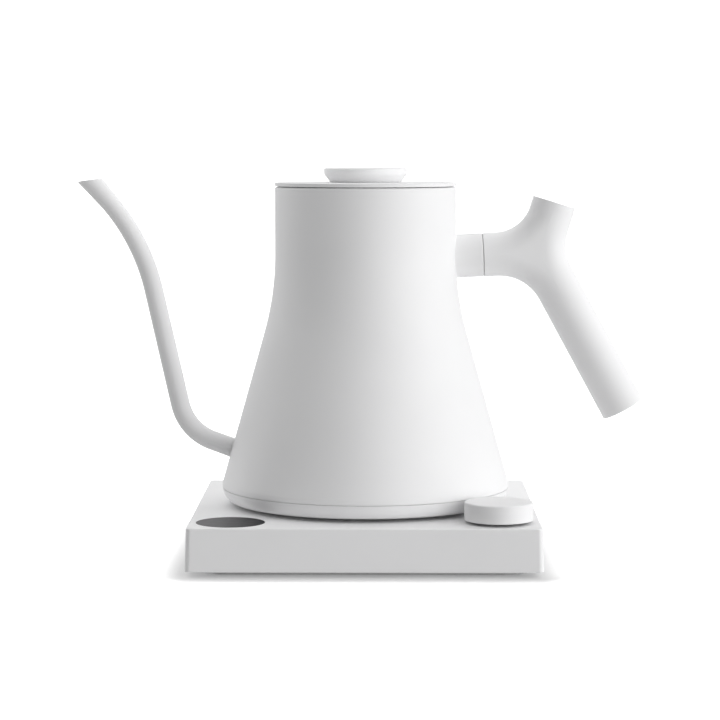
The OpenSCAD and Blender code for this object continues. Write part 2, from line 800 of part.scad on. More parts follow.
// The moving half of the cordless connector: a cup over the hub
module kettle_socket() {
    color(moulded_black) difference() {
        union() {
            translate([0, 0, kettle_z + 0.1])
                cylinder(r = hub_collar_r + 1.4, h = socket_top_z - kettle_z - 0.1);
            translate([0, 0, kettle_z + housing_floor + 0.05]) cylinder(r = socket_flange_r, h = 1.6);
        }
        translate([0, 0, kettle_z - past])
            cylinder(r = hub_r + free_gap, h = socket_ceiling_z - kettle_z + past);
        at_socket_screws() translate([0, 0, kettle_z]) cylinder(r = 1.3, h = 8);
        // Slots for the contacts in the ceiling
        translate([0, 0, socket_ceiling_z - past]) cylinder(r = 1.15, h = 5);
        for (r = [contact_at[1], contact_at[2]]) ring(r, r - 0.65, socket_ceiling_z - past, past + 1);
        for (y = tag_y) translate([0, y, socket_ceiling_z]) cylinder(r = 0.55, h = 5);
    }
}

// Centre pin and two tubes that run in the hub's grooves, each with a tag above the cup
module socket_contacts() {
    low = groove_floor_z + 3;
    tag_top = socket_top_z + 0.6;
    color(brass) {
        translate([0, 0, low + 3]) cylinder(r = 1.1, h = tag_top - low - 3);
        for (r = [contact_at[1], contact_at[2]])
            ring(r - 0.05, r - 0.6, low, socket_ceiling_z + 0.9 - low);
        for (y = tag_y) translate([0, y, socket_ceiling_z + 0.5])
            cylinder(r = 0.5, h = tag_top - socket_ceiling_z - 0.5);
    }
}

module socket_screws() {
    head_top = kettle_z + housing_floor + 1.7 + small_head_h;
    color(steel) at_socket_screws() translate([0, 0, head_top]) mirror([0, 0, 1])
        screw_up(2.6, 1, 2, small_head_h);
}

// Leads from the socket's tags to the heater's two cold ends
module kettle_leads() {
    tag_z = socket_top_z + 1.5;
    color([0.7, 0.7, 0.65]) for (i = [0:1])
        let (side = 2 * i - 1)
        lead([
            [0, tag_y[i], tag_z],
            [26, side * 8, tag_z + 2.2],
            [30, side * 15, cold_end[2] - 0.6],
            [cold_end[0], side * cold_end[1], cold_end[2] - 0.4]
        ], 0.9);
}

// The moulded underside of the kettle, whose rounded edge carries on the vessel's foot
module bottom_housing() {
    low_a = asin((kettle_z - foot_cz) / foot_r);
    top_a = asin((foot_seam_z - 0.3 - foot_cz) / foot_r);
    spigot_r = foot_cr + foot_r - sheet - 0.6;
    spigot_z = foot_seam_z + 3;
    color(white) difference() {
        rotate_extrude() polygon(concat(
            [[hub_collar_r + 1.6, kettle_z]],
            arc([foot_cr, foot_cz], foot_r, low_a, top_a, 8),
            [
                [spigot_r, foot_seam_z - 0.3], [spigot_r, spigot_z], [spigot_r - 2, spigot_z],
                [spigot_r - 2, kettle_z + housing_floor + 3], [spigot_r - 5, kettle_z + housing_floor],
                [hub_collar_r + 1.6, kettle_z + housing_floor]
            ]
        ));
        at_housing_screws() translate([0, 0, kettle_z - past]) {
            cylinder(r = screw_r + 0.15, h = 10);
            cylinder(r = screw_head_r - 0.2, h = past + 1.2);
        }
        at_socket_screws() translate([0, 0, kettle_z + 0.4]) cylinder(r = 1.05, h = 8);
    }
}

module housing_seal() {
    seal_r = foot_cr + foot_r - sheet;
    color(silicone) ring(seal_r - 1, seal_r - 2.6, foot_seam_z + 3.05, 2);
}

// Tapped studs under the heat spreader that take the housing's screws
module housing_studs() {
    low = kettle_z + housing_floor + 0.05;
    color(steel) at_housing_screws() ring(3, screw_r, low, plate_z - spreader_t - 0.1 - low);
}

module housing_screws() {
    color(steel) at_housing_screws() translate([0, 0, kettle_z + 0.1])
        screw_up(9, screw_r - 0.1, 2.3, 1);
}

module lid_disc() {
    edge = 0.4;
    color(white) difference() {
        rotate_extrude() polygon(concat(
            [[0, lid_z]],
            [[body_r, lid_z]],
            arc([body_r - edge, lid_top_z - edge], edge, 0, 90, 3),
            [[0, lid_top_z]]
        ));
        translate([0, 0, lid_z - past]) cylinder(r = screw_r + 0.1, h = lid_t + 2 * past);
    }
}

module lid_knob() {
    edge = 0.4;
    top = lid_top_z + knob_h;
    color(white) difference() {
        rotate_extrude() polygon(concat(
            [[0, lid_top_z + 0.03], [knob_foot_r, lid_top_z + 0.03]],
            arc([knob_r - knob_under_r, lid_top_z + knob_under_r + 0.4], knob_under_r, -60, 0, 6),
            arc([knob_r - edge, top - edge - 0.2], edge, 0, 80, 3),
            [[0, top]]
        ));
        translate([0, 0, lid_top_z - past]) cylinder(r = screw_r, h = past + 4.5);
    }
}

// The moulded plug under the lid's plate
module lid_cup() {
    low = lid_z - cup_depth;
    color(moulded_black) difference() {
        rotate_extrude() polygon([
            [0, lid_z - 2.2], [cup_r - cup_wall, lid_z - 2.2], [cup_r - cup_wall, low], [cup_r, low],
            [cup_r, lid_z - 7.5], [cup_r - 1, lid_z - 7.5], [cup_r - 1, lid_z - 4], [cup_r, lid_z - 4],
            [cup_r, lid_z - 0.05], [0, lid_z - 0.05]
        ]);
        translate([0, 0, lid_z - 5]) cylinder(r = screw_r + 0.1, h = 6);
        // Steam slots in the skirt
        for (a = [45, 135, 225, 315]) rotate([0, 0, a])
            translate([cup_r - 4, -3, low - past]) cube([8, 6, past + 3]);
    }
}

// Silicone ring in the plug's groove, notched so that steam can leave
module lid_gasket() {
    color(silicone) difference() {
        ring(mouth_r - 0.35, cup_r - 0.95, lid_z - 7.45, 3.4);
        for (a = [45, 135, 225, 315]) rotate([0, 0, a])
            translate([cup_r + 0.2, -1.5, lid_z - 9]) cube([4, 3, 6]);
    }
}

module lid_screw() {
    head_h = 1.6;
    color(steel) translate([0, 0, lid_z - 2.25 - head_h]) screw_up(7.4, screw_r - 0.05, 3.2, head_h);
}

base_shell();
base_bottom_cover();
base_foot_ring();
base_cover_screws();
cord_gland();
connector_hub();
hub_contacts();
hub_seal();
hub_screws();
display_lens();
display_panel();
display_holder();
control_board();
control_board_screws();
dial_encoder();
switch_dome();
power_board();
power_board_screws();
supply_transformer();
supply_capacitors();
power_relay();
mains_fuse();
terminal_block();
mains_leads();
connector_leads();
ribbon_cable();
glide_ring();
switch_slider();
encoder_shaft();
dial_knob();
kettle_body();
spout();
handle_stub();
handle();
handle_screw();
thumb_cap();
grip_cap();
counterweight();
heating_plate();
heat_spreader();
heating_element();
temperature_probe();
probe_seal();
thermal_cutout();
kettle_socket();
socket_contacts();
socket_screws();
kettle_leads();
bottom_housing();
housing_seal();
housing_studs();
housing_screws();
lid_disc();
lid_knob();
lid_cup();
lid_gasket();
lid_screw();
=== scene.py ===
"""Electric gooseneck kettle on its power base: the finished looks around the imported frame."""

import json
import logging
import math
from dataclasses import dataclass, field
from enum import Enum
from typing import Callable, Sequence

import bpy
import bmesh
from mathutils import Matrix, Vector

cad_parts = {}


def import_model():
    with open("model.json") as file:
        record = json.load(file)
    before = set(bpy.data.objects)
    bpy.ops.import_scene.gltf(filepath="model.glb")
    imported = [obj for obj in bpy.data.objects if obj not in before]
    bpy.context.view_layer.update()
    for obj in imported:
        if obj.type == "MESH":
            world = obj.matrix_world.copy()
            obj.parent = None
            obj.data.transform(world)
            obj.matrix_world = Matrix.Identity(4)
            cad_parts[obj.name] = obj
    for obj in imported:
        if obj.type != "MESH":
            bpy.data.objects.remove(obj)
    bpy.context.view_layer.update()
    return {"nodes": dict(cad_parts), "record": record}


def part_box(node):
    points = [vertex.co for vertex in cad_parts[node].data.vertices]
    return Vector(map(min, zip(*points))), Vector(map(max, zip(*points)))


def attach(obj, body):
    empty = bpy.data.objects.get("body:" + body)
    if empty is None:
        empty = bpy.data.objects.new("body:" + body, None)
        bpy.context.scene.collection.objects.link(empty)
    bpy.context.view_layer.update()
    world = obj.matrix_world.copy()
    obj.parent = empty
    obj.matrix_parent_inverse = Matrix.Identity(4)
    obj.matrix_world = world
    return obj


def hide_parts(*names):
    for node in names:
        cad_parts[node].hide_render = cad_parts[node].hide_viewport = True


MM = 0.001
log = logging.getLogger("kettle")

Point2 = tuple[float, float]
Ring = list[Vector]


# ---------------------------------------------------------------------------
# Outlines and meshes
# ---------------------------------------------------------------------------


def arc(centre: Point2, radius: float, start: float, end: float, steps: int) -> list[Point2]:
    """A round stretch of an outline.

    Args:
        centre: centre of the arc.
        radius: radius of the arc.
        start: first angle in degrees.
        end: last angle in degrees.
        steps: number of straight pieces.

    Returns:
        The points along the arc, ends included.
    """
    angles = [math.radians(start + (end - start) * i / steps) for i in range(steps + 1)]
    return [(centre[0] + radius * math.cos(a), centre[1] + radius * math.sin(a)) for a in angles]


def rounded(corners: Sequence[tuple[float, float, float]], steps: int = 5) -> list[Point2]:
    """An outline through corners, each rounded with its own radius.

    Args:
        corners: x, y and rounding radius of each corner; the first and last stay sharp.
        steps: straight pieces in each rounding.

    Returns:
        The points of the open outline.
    """
    out: list[Point2] = [corners[0][:2]]
    for before, here, after in zip(corners, corners[1:], corners[2:]):
        p = Vector(here[:2])
        a, b = (Vector(before[:2]) - p).normalized(), (Vector(after[:2]) - p).normalized()
        half = a.angle(b) / 2
        if here[2] <= 0 or half > math.radians(89.5):
            out.append(here[:2])
            continue
        cut = here[2] / math.tan(half)
        centre = p + (a + b).normalized() * (here[2] / math.sin(half))
        first, last = p + a * cut - centre, p + b * cut - centre
        for i in range(steps + 1):
            turned = first.slerp(last, i / steps)
            out.append(tuple(centre + turned.normalized() * here[2]))
    out.append(corners[-1][:2])
    return out


def bridge(mesh: bmesh.types.BMesh, low: list, high: list, material: int = 0) -> None:
    """Joins two rings of the same length with quads; a ring of one vertex makes a fan.

    Args:
        mesh: the mesh being built.
        low: vertices of the first ring.
        high: vertices of the second ring.
        material: index of the faces' material.
    """
    count = max(len(low), len(high))
    for i in range(count):
        k = (i + 1) % count
        if len(low) == 1:
            corners = [low[0], high[k], high[i]]
        elif len(high) == 1:
            corners = [low[i], low[k], high[0]]
        else:
            corners = [low[i], low[k], high[k], high[i]]
        mesh.faces.new(corners).material_index = material


def add_rings(mesh: bmesh.types.BMesh, rings: Sequence[Ring], closed: bool,
              materials: Sequence[int] = ()) -> list[list]:
    """Adds a skin through rings of points.

    Args:
        mesh: the mesh being built.
        rings: rings in order; a ring of one point closes the skin to a tip.
        closed: whether the last ring joins the first.
        materials: material index of each gap between rings, 0 where it isn't given.

    Returns:
        The new vertices, ring by ring.
    """
    made = [[mesh.verts.new(p) for p in ring] for ring in rings]
    pairs = list(zip(made, made[1:])) + ([(made[-1], made[0])] if closed else [])
    for n, (low, high) in enumerate(pairs):
        bridge(mesh, low, high, materials[n] if n < len(materials) else 0)
    return made


def turned_rings(outline: Sequence[Point2], sides: int, at: Vector = Vector()) -> list[Ring]:
    """Rings of a body of revolution about a vertical axis.

    Args:
        outline: radius and height of each ring; a radius of nought gives a single point.
        sides: points in each ring.
        at: where the axis stands.

    Returns:
        One ring for each point of the outline.
    """
    rings = []
    for r, z in outline:
        if r < 1e-7:
            rings.append([at + Vector((0, 0, z))])
            continue
        turns = [2 * math.pi * i / sides for i in range(sides)]
        rings.append([at + Vector((r * math.cos(t), r * math.sin(t), z)) for t in turns])
    return rings


def square_ring(half: float, radius: float, z: float, steps: int = 8) -> Ring:
    """A square with rounded corners, as a ring of points.

    Args:
        half: half the square's width.
        radius: radius of its corners.
        z: height of the ring.
        steps: straight pieces in each corner.

    Returns:
        The ring, turning anticlockwise seen from above.
    """
    inner = half - radius
    points: Ring = []
    for quarter, (sx, sy) in enumerate(((1, 1), (-1, 1), (-1, -1), (1, -1))):
        bend = arc((sx * inner, sy * inner), radius, 90 * quarter, 90 * quarter + 90, steps)
        points += [Vector((x, y, z)) for x, y in bend]
    return points


def circle_ring(radius: float, centre: Point2, z: float, sides: int) -> Ring:
    """A level circle as a ring of points.

    Args:
        radius: radius of the circle.
        centre: its centre in plan.
        z: its height.
        sides: number of points.

    Returns:
        The ring, turning anticlockwise seen from above.
    """
    return turned_rings([(radius, z)], sides, Vector((*centre, 0)))[0]


def round_axis(start: Vector, across: Vector, radius: float, sides: int) -> Ring:
    """A circle round an axis that lies in the kettle's middle plane.

    Args:
        start: the circle's centre.
        across: unit direction across the axis, in that plane.
        radius: radius of the circle.
        sides: number of points.

    Returns:
        The circle's points.
    """
    turns = [2 * math.pi * i / sides for i in range(sides)]
    return [start + across * (radius * math.cos(t)) + Vector((0, radius * math.sin(t), 0)) for t in turns]


def fillet(radius: float, size: float, steps: int) -> list[Point2]:
    """The hollow fillet where a tube leaves a wall.

    Args:
        radius: radius of the tube.
        size: radius of the fillet.
        steps: number of straight pieces.

    Returns:
        The radius and the height above the wall of each ring, from the wall up the tube.
    """
    turns = [math.radians(90 * i / steps) for i in range(steps + 1)]
    return [(radius + size * (1 - math.sin(a)), size * (1 - math.cos(a))) for a in turns]


def unit(angle: float) -> Vector:
    """A unit direction in the kettle's middle plane, at an angle in degrees from its length."""
    return Vector((math.cos(math.radians(angle)), math.sin(math.radians(angle))))


def in_space(flat: Vector) -> Vector:
    """A point or a direction of the kettle's middle plane, in space."""
    return Vector((flat.x, 0, flat.y))


def fill_level(mesh: bmesh.types.BMesh, loops: Sequence[list]) -> None:
    """Fills the level area between an outer loop of vertices and the holes in it.

    Args:
        mesh: the mesh being built.
        loops: the outer loop first, then the holes.
    """
    edges = []
    for loop in loops:
        for a, b in zip(loop, loop[1:] + loop[:1]):
            edges.append(mesh.edges.get((a, b)) or mesh.edges.new((a, b)))
    bmesh.ops.triangle_fill(mesh, edges=edges, use_beauty=True, use_dissolve=False)


def make_piece(name: str, mesh: bmesh.types.BMesh, finishes: Sequence[bpy.types.Material],
               crease: float = 34.0) -> bpy.types.Object:
    """Turns a mesh under construction into a smooth-shaded piece.

    Args:
        name: the piece's name.
        mesh: the finished mesh; it is freed.
        finishes: its materials, in the order of the face indices.
        crease: edges sharper than this many degrees stay sharp.

    Returns:
        The new object, with even shading on its flat faces.
    """
    bmesh.ops.recalc_face_normals(mesh, faces=mesh.faces[:])
    data = bpy.data.meshes.new(name)
    mesh.to_mesh(data)
    mesh.free()
    for finish in finishes:
        data.materials.append(finish)
    data.shade_smooth()
    data.set_sharp_from_angle(angle=math.radians(crease))
    piece = bpy.data.objects.new(name, data)
    bpy.context.scene.collection.objects.link(piece)
    even = piece.modifiers.new("even shading", "WEIGHTED_NORMAL")
    even.keep_sharp = True
    return piece


def settle(piece: bpy.types.Object, body: str, replaced: Sequence[str] = ()) -> None:
    """Gives a new piece its body and the frame nodes that it stands for, and reports it.

    Args:
        piece: the piece, already in place.
        body: name of the body it rides on.
        replaced: frame nodes that it stands for.
    """
    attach(piece, body)
    if replaced:
        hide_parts(*replaced)
    log.info("%s: %d faces, rides on %s", piece.name, len(piece.data.polygons), body)


# ---------------------------------------------------------------------------
# Finishes
# ---------------------------------------------------------------------------


class Grain(Enum):
    """The kinds of fine surface that the pieces have."""

    POWDER = "powder"
    MOULDED = "moulded"
    BRUSHED = "brushed"
    TURNED = "turned"
    LAMINATE = "laminate"
    SOFT = "soft"
    WINDOW = "window"


class Graph:
    """A material's node graph, with short calls for the nodes that the finishes use."""

    def __init__(self, name: str) -> None:
        """Starts an empty material with a surface shader."""
        self.material = bpy.data.materials.new(name)
        self.material.use_nodes = True
        self.nodes = self.material.node_tree.nodes
        self.links = self.material.node_tree.links
        self.shader = self.nodes["Principled BSDF"]
        self.place = self.nodes.new("ShaderNodeTexCoord").outputs["Object"]

    def stretched(self, scale: tuple[float, float, float]) -> bpy.types.NodeSocket:
        """The piece's own coordinates, stretched along its axes.

        Args:
            scale: the stretch along each axis.

        Returns:
            The stretched coordinates.
        """
        mapping = self.nodes.new("ShaderNodeMapping")
        mapping.inputs["Scale"].default_value = scale
        self.links.new(self.place, mapping.inputs["Vector"])
        return mapping.outputs["Vector"]

    def noise(self, size: float, detail: float = 2.0,
              where: bpy.types.NodeSocket | None = None) -> bpy.types.NodeSocket:
        """A cloudy pattern.

        Args:
            size: width of one cloud in metres.
            detail: octaves of finer clouds.
            where: coordinates, or the piece's own.

        Returns:
            A value around one half.
        """
        node = self.nodes.new("ShaderNodeTexNoise")
        node.inputs["Scale"].default_value = 1 / size
        node.inputs["Detail"].default_value = detail
        self.links.new(where or self.place, node.inputs["Vector"])
        return node.outputs["Fac"]

    def cells(self, size: float) -> bpy.types.NodeSocket:
        """A pattern of small rounded cells.

        Args:
            size: width of one cell in metres.

        Returns:
            The distance from the middle of the cell.
        """
        node = self.nodes.new("ShaderNodeTexVoronoi")
        node.inputs["Scale"].default_value = 1 / size
        self.links.new(self.place, node.inputs["Vector"])
        return node.outputs["Distance"]

    def spread(self, value: bpy.types.NodeSocket, low: float, high: float) -> bpy.types.NodeSocket:
        """Maps a pattern's middle range to other values.

        Args:
            value: the pattern.
            low: the value at the low end of its middle range.
            high: the value at the high end.

        Returns:
            The mapped value.
        """
        node = self.nodes.new("ShaderNodeMapRange")
        node.inputs["From Min"].default_value = 0.25
        node.inputs["From Max"].default_value = 0.75
        node.inputs["To Min"].default_value = low
        node.inputs["To Max"].default_value = high
        self.links.new(value, node.inputs["Value"])
        return node.outputs["Result"]

    def shade(self, colour: Sequence[float], pattern: bpy.types.NodeSocket, share: float) -> None:
        """Colours the surface, darker and lighter with a pattern.

        Args:
            colour: the middle colour, linear.
            pattern: the pattern.
            share: how much darker and lighter it gets, as a share of the colour.
        """
        ramp = self.nodes.new("ShaderNodeValToRGB")
        ends = ramp.color_ramp.elements
        ends[0].position, ends[1].position = 0.3, 0.7
        ends[0].color = (*[c * (1 - share) for c in colour], 1)
        ends[1].color = (*[min(c * (1 + share), 1) for c in colour], 1)
        self.links.new(pattern, ramp.inputs["Fac"])
        self.links.new(ramp.outputs["Color"], self.shader.inputs["Base Color"])

    def rough(self, pattern: bpy.types.NodeSocket, low: float, high: float) -> None:
        """Varies the roughness with a pattern.

        Args:
            pattern: the pattern.
            low: the smoothest value.
            high: the roughest value.
        """
        self.links.new(self.spread(pattern, low, high), self.shader.inputs["Roughness"])

    def raise_up(self, pattern: bpy.types.NodeSocket, height: float,
                 under: bpy.types.NodeSocket | None = None) -> bpy.types.NodeSocket:
        """Raises the surface by a pattern, on top of another relief.

        Args:
            pattern: the relief, from nought to one.
            height: its height in metres.
            under: normal of the relief below it.

        Returns:
            The normal of the raised surface, already on the shader.
        """
        bump = self.nodes.new("ShaderNodeBump")
        bump.inputs["Distance"].default_value = height
        self.links.new(pattern, bump.inputs["Height"])
        if under:
            self.links.new(under, bump.inputs["Normal"])
        self.links.new(bump.outputs["Normal"], self.shader.inputs["Normal"])
        return bump.outputs["Normal"]

    def reckon(self, operation: str, first: bpy.types.NodeSocket,
               second: bpy.types.NodeSocket | float = 0.0) -> bpy.types.NodeSocket:
        """Works out one sum, such as ADD.

        Args:
            operation: the sum's name.
            first: the first value.
            second: the second value, or a plain number.

        Returns:
            The result.
        """
        node = self.nodes.new("ShaderNodeMath")
        node.operation = operation
        self.links.new(first, node.inputs[0])
        if isinstance(second, bpy.types.NodeSocket):
            self.links.new(second, node.inputs[1])
        else:
            node.inputs[1].default_value = second
        return node.outputs["Value"]

    def constant(self, socket: str, value: float) -> None:
        """Sets one of the shader's own sockets."""
        self.shader.inputs[socket].default_value = value


@dataclass(frozen=True)
class Finish:
    """One finish: its colour, its gloss and its grain."""

    name: str
    colour: tuple[float, float, float]
    grain: Grain
    roughness: float = 0.5
    metallic: float = 0.0
    size: float = 0.5 * MM
    depth: float = 0.004 * MM
    uneven: float = 0.02
    facets: tuple[float, float, float] = (1.0, 1.0, 1.0)
    # Painted reflection: grey mixed over the colour, strongest at the first x of its ends and gone by the
    # second.
    painted_reflection: float = 0.0
    painted_reflection_ends: tuple[float, float] = (-76 * MM, -48 * MM)
    painted_reflection_colour: tuple[float, float, float] = (0.3, 0.3, 0.305)

    def build(self) -> bpy.types.Material:
        """Makes the material, in the way of its grain."""
        graph = Graph(self.name)
        graph.constant("Metallic", self.metallic)
        makers: dict[Grain, Callable[[Graph], None]] = {
            Grain.POWDER: self.powder,
            Grain.MOULDED: self.moulded,
            Grain.BRUSHED: self.brushed,
            Grain.TURNED: self.turned,
            Grain.LAMINATE: self.laminate,
            Grain.SOFT: self.soft,
            Grain.WINDOW: self.window,
        }
        makers[self.grain](graph)
        return graph.material

    def powder(self, graph: Graph) -> None:
        """Powder coat: fine grains over a slow orange peel, and a faint sheen that varies."""
        fine, peel = graph.noise(self.size, 3), graph.noise(self.size * 7, 2)
        slow = graph.noise(45 * MM, 2)
        graph.shade(self.colour, slow, self.uneven)
        graph.rough(fine, self.roughness - 0.06, self.roughness + 0.06)
        below = graph.raise_up(peel, self.depth * 2.5)
        graph.raise_up(fine, self.depth, below)

    def moulded(self, graph: Graph) -> None:
        """Moulded plastic: a spark-eroded texture with small rounded pits."""
        pits, cloud = graph.cells(self.size), graph.noise(self.size * 2.2, 4)
        slow = graph.noise(30 * MM, 3)
        graph.shade(self.colour, slow, self.uneven)
        graph.rough(cloud, self.roughness - 0.07, self.roughness + 0.07)
        below = graph.raise_up(cloud, self.depth)
        graph.raise_up(pits, self.depth * 0.7, below)

    def brushed(self, graph: Graph) -> None:
        """Metal with fine straight lines along one axis, and a few deeper scratches."""
        lines = graph.noise(self.size, 4, graph.stretched(self.facets))
        scratches = graph.noise(self.size * 5, 2, graph.stretched(self.facets))
        graph.shade(self.colour, lines, self.uneven)
        graph.rough(scratches, self.roughness - 0.1, self.roughness + 0.12)
        below = graph.raise_up(lines, self.depth)
        graph.raise_up(scratches, self.depth * 0.6, below)

    def turned(self, graph: Graph) -> None:
        """Turned metal: fine rings round the vertical axis."""
        wave = graph.nodes.new("ShaderNodeTexWave")
        wave.wave_type = "RINGS"
        wave.rings_direction = "Z"
        wave.inputs["Scale"].default_value = 1 / self.size
        wave.inputs["Distortion"].default_value = 0.6
        graph.links.new(graph.place, wave.inputs["Vector"])
        cloud = graph.noise(self.size * 8, 3)
        graph.shade(self.colour, cloud, self.uneven)
        graph.rough(cloud, self.roughness - 0.08, self.roughness + 0.1)
        graph.raise_up(wave.outputs["Fac"], self.depth)

    def laminate(self, graph: Graph) -> None:
        """Circuit board: solder mask with raised tracks and specks."""
        brick = graph.nodes.new("ShaderNodeTexBrick")
        brick.offset, brick.squash = 0.35, 1.6
        brick.inputs["Scale"].default_value = 1 / self.size
        brick.inputs["Mortar Size"].default_value = 0.04
        graph.links.new(graph.place, brick.inputs["Vector"])
        specks = graph.noise(self.size * 0.3, 3)
        graph.shade(self.colour, brick.outputs["Fac"], self.uneven)
        graph.rough(specks, self.roughness - 0.05, self.roughness + 0.1)
        below = graph.raise_up(brick.outputs["Fac"], self.depth)
        graph.raise_up(specks, self.depth * 0.3, below)

    def soft(self, graph: Graph) -> None:
        """Rubber and silicone: a dull skin with fine dust in cloudy patches."""
        skin, dust = graph.noise(self.size, 4), graph.noise(self.size * 14, 5)
        graph.shade(self.colour, dust, self.uneven)
        graph.rough(skin, self.roughness - 0.05, self.roughness + 0.05)
        graph.raise_up(skin, self.depth)
        graph.constant("Sheen Weight", 0.1)

    def window(self, graph: Graph) -> None:
        """Smoked window: satin over a dark print, hardly uneven, with a painted reflection of the bright
        surroundings as grey at its left.
        """
        haze, wisp = graph.noise(9 * MM, 2), graph.noise(self.size, 3)
        graph.shade(self.colour, haze, self.uneven)
        # The grey at the window's left is a painted reflection.
        if self.painted_reflection:
            self.paint_reflection(graph)
        graph.rough(wisp, self.roughness - 0.02, self.roughness + 0.03)
        graph.raise_up(wisp, self.depth)
        graph.constant("Specular IOR Level", 0.02)

    def paint_reflection(self, graph: Graph) -> None:
        """Paints a reflection: lays grey over the colour at the window's left that thins out along the
        kettle's length.
        """
        split = graph.nodes.new("ShaderNodeSeparateXYZ")
        graph.links.new(graph.place, split.inputs[0])
        painted_reflection = graph.nodes.new("ShaderNodeMapRange")
        painted_reflection.inputs["From Min"].default_value, painted_reflection.inputs["From Max"].default_value = self.painted_reflection_ends
        painted_reflection.inputs["To Min"].default_value, painted_reflection.inputs["To Max"].default_value = self.painted_reflection, 0.0
        graph.links.new(split.outputs["X"], painted_reflection.inputs["Value"])
        link = graph.shader.inputs["Base Color"].links[0]
        mix = graph.nodes.new("ShaderNodeMix")
        mix.data_type = "RGBA"
        graph.links.new(painted_reflection.outputs["Result"], mix.inputs["Factor"])
        graph.links.new(link.from_socket, mix.inputs["A"])
        mix.inputs["B"].default_value = (*self.painted_reflection_colour, 1)
        graph.links.new(mix.outputs["Result"], graph.shader.inputs["Base Color"])


@dataclass
class FinishBook:
    """All finishes of the kettle, each made once when it is first asked for."""

    finishes: tuple[Finish, ...]
    made: dict[str, bpy.types.Material] = field(default_factory=dict)

    def get(self, name: str) -> bpy.types.Material:
        """The material of a finish.

        Args:
            name: the finish's name.

        Returns:
            The material, the same one each time.
        """
        if name not in self.made:
            found = next(f for f in self.finishes if f.name == name)
            self.made[name] = found.build()
        return self.made[name]


def kettle_finishes() -> FinishBook:
    """The finishes of this kettle."""
    white = (0.92, 0.92, 0.925)
    fine = 0.3 * MM
    return FinishBook((
        Finish("white_powder_coat", white, Grain.POWDER, 0.52, size=0.45 * MM, uneven=0.012),
        Finish("white_moulding", white, Grain.MOULDED, 0.55, size=0.4 * MM, depth=0.005 * MM, uneven=0.01),
        Finish("black_moulding", (0.02, 0.02, 0.022), Grain.MOULDED, 0.55, size=0.5 * MM,
               depth=0.008 * MM, uneven=0.15),
        # The smoked window carries a painted reflection: grey at its left, fading towards its right.
        Finish("smoked_window", (0.012, 0.012, 0.014), Grain.WINDOW, 0.3, size=4 * MM,
               depth=0.001 * MM, uneven=0.2, painted_reflection=0.36),
        Finish("grey_moulding", (0.62, 0.62, 0.625), Grain.MOULDED, 0.6, size=0.6 * MM,
               depth=0.01 * MM, uneven=0.06),
        Finish("display_glass", (0.008, 0.01, 0.016), Grain.WINDOW, 0.1, size=3 * MM,
               depth=0.0005 * MM, uneven=0.2),
        Finish("foot_rubber", (0.4, 0.4, 0.402), Grain.SOFT, 0.8, size=fine, depth=0.01 * MM, uneven=0.12),
        Finish("clear_silicone", (0.62, 0.62, 0.6), Grain.SOFT, 0.45, size=0.6 * MM, depth=0.003 * MM,
               uneven=0.05),
        Finish("brushed_steel", (0.6, 0.6, 0.61), Grain.BRUSHED, 0.32, 1.0, fine, 0.003 * MM, 0.1,
               (1.0, 1.0, 0.06)),
        Finish("drawn_steel", (0.6, 0.6, 0.61), Grain.BRUSHED, 0.3, 1.0, 0.4 * MM, 0.003 * MM, 0.08,
               (1.0, 1.0, 18.0)),
        Finish("turned_steel", (0.62, 0.62, 0.63), Grain.TURNED, 0.3, 1.0, 3 * MM, 0.004 * MM, 0.08),
        Finish("cast_aluminium", (0.68, 0.68, 0.69), Grain.TURNED, 0.42, 1.0, 5 * MM, 0.01 * MM, 0.1),
        Finish("contact_brass", (0.7, 0.5, 0.2), Grain.BRUSHED, 0.28, 1.0, fine, 0.003 * MM, 0.12,
               (1.0, 1.0, 0.1)),
        Finish("solder_mask", (0.02, 0.12, 0.05), Grain.LAMINATE, 0.35, size=9 * MM, depth=0.02 * MM,
               uneven=0.35),
        Finish("component_blue", (0.03, 0.05, 0.14), Grain.MOULDED, 0.35, size=0.8 * MM,
               depth=0.004 * MM, uneven=0.2),
        Finish("natural_moulding", (0.6, 0.57, 0.48), Grain.MOULDED, 0.45, size=0.6 * MM,
               depth=0.005 * MM, uneven=0.06),
        Finish("lead_insulation", (0.32, 0.03, 0.02), Grain.SOFT, 0.42, size=0.7 * MM,
               depth=0.004 * MM, uneven=0.1),
    ))


# The finish of each slot in the record, for the frame's own nodes
SLOT_FINISH = {
    "white_paint": "white_powder_coat", "white_shell": "white_moulding",
    "dark_plastic": "black_moulding", "display_lens": "smoked_window",
    "display_panel": "display_glass", "rubber": "foot_rubber", "silicone": "clear_silicone",
    "steel": "brushed_steel", "aluminium": "cast_aluminium", "brass": "contact_brass",
    "circuit_board": "solder_mask", "component": "component_blue",
    "pale_plastic": "natural_moulding", "lead": "lead_insulation",
}
# Nodes whose finish differs from their slot's
NODE_FINISH = {
    "heating_plate": "turned_steel", "temperature_probe": "drawn_steel",
    "base_bottom_cover": "grey_moulding",
}


# ---------------------------------------------------------------------------
# Sub-assemblies
# ---------------------------------------------------------------------------


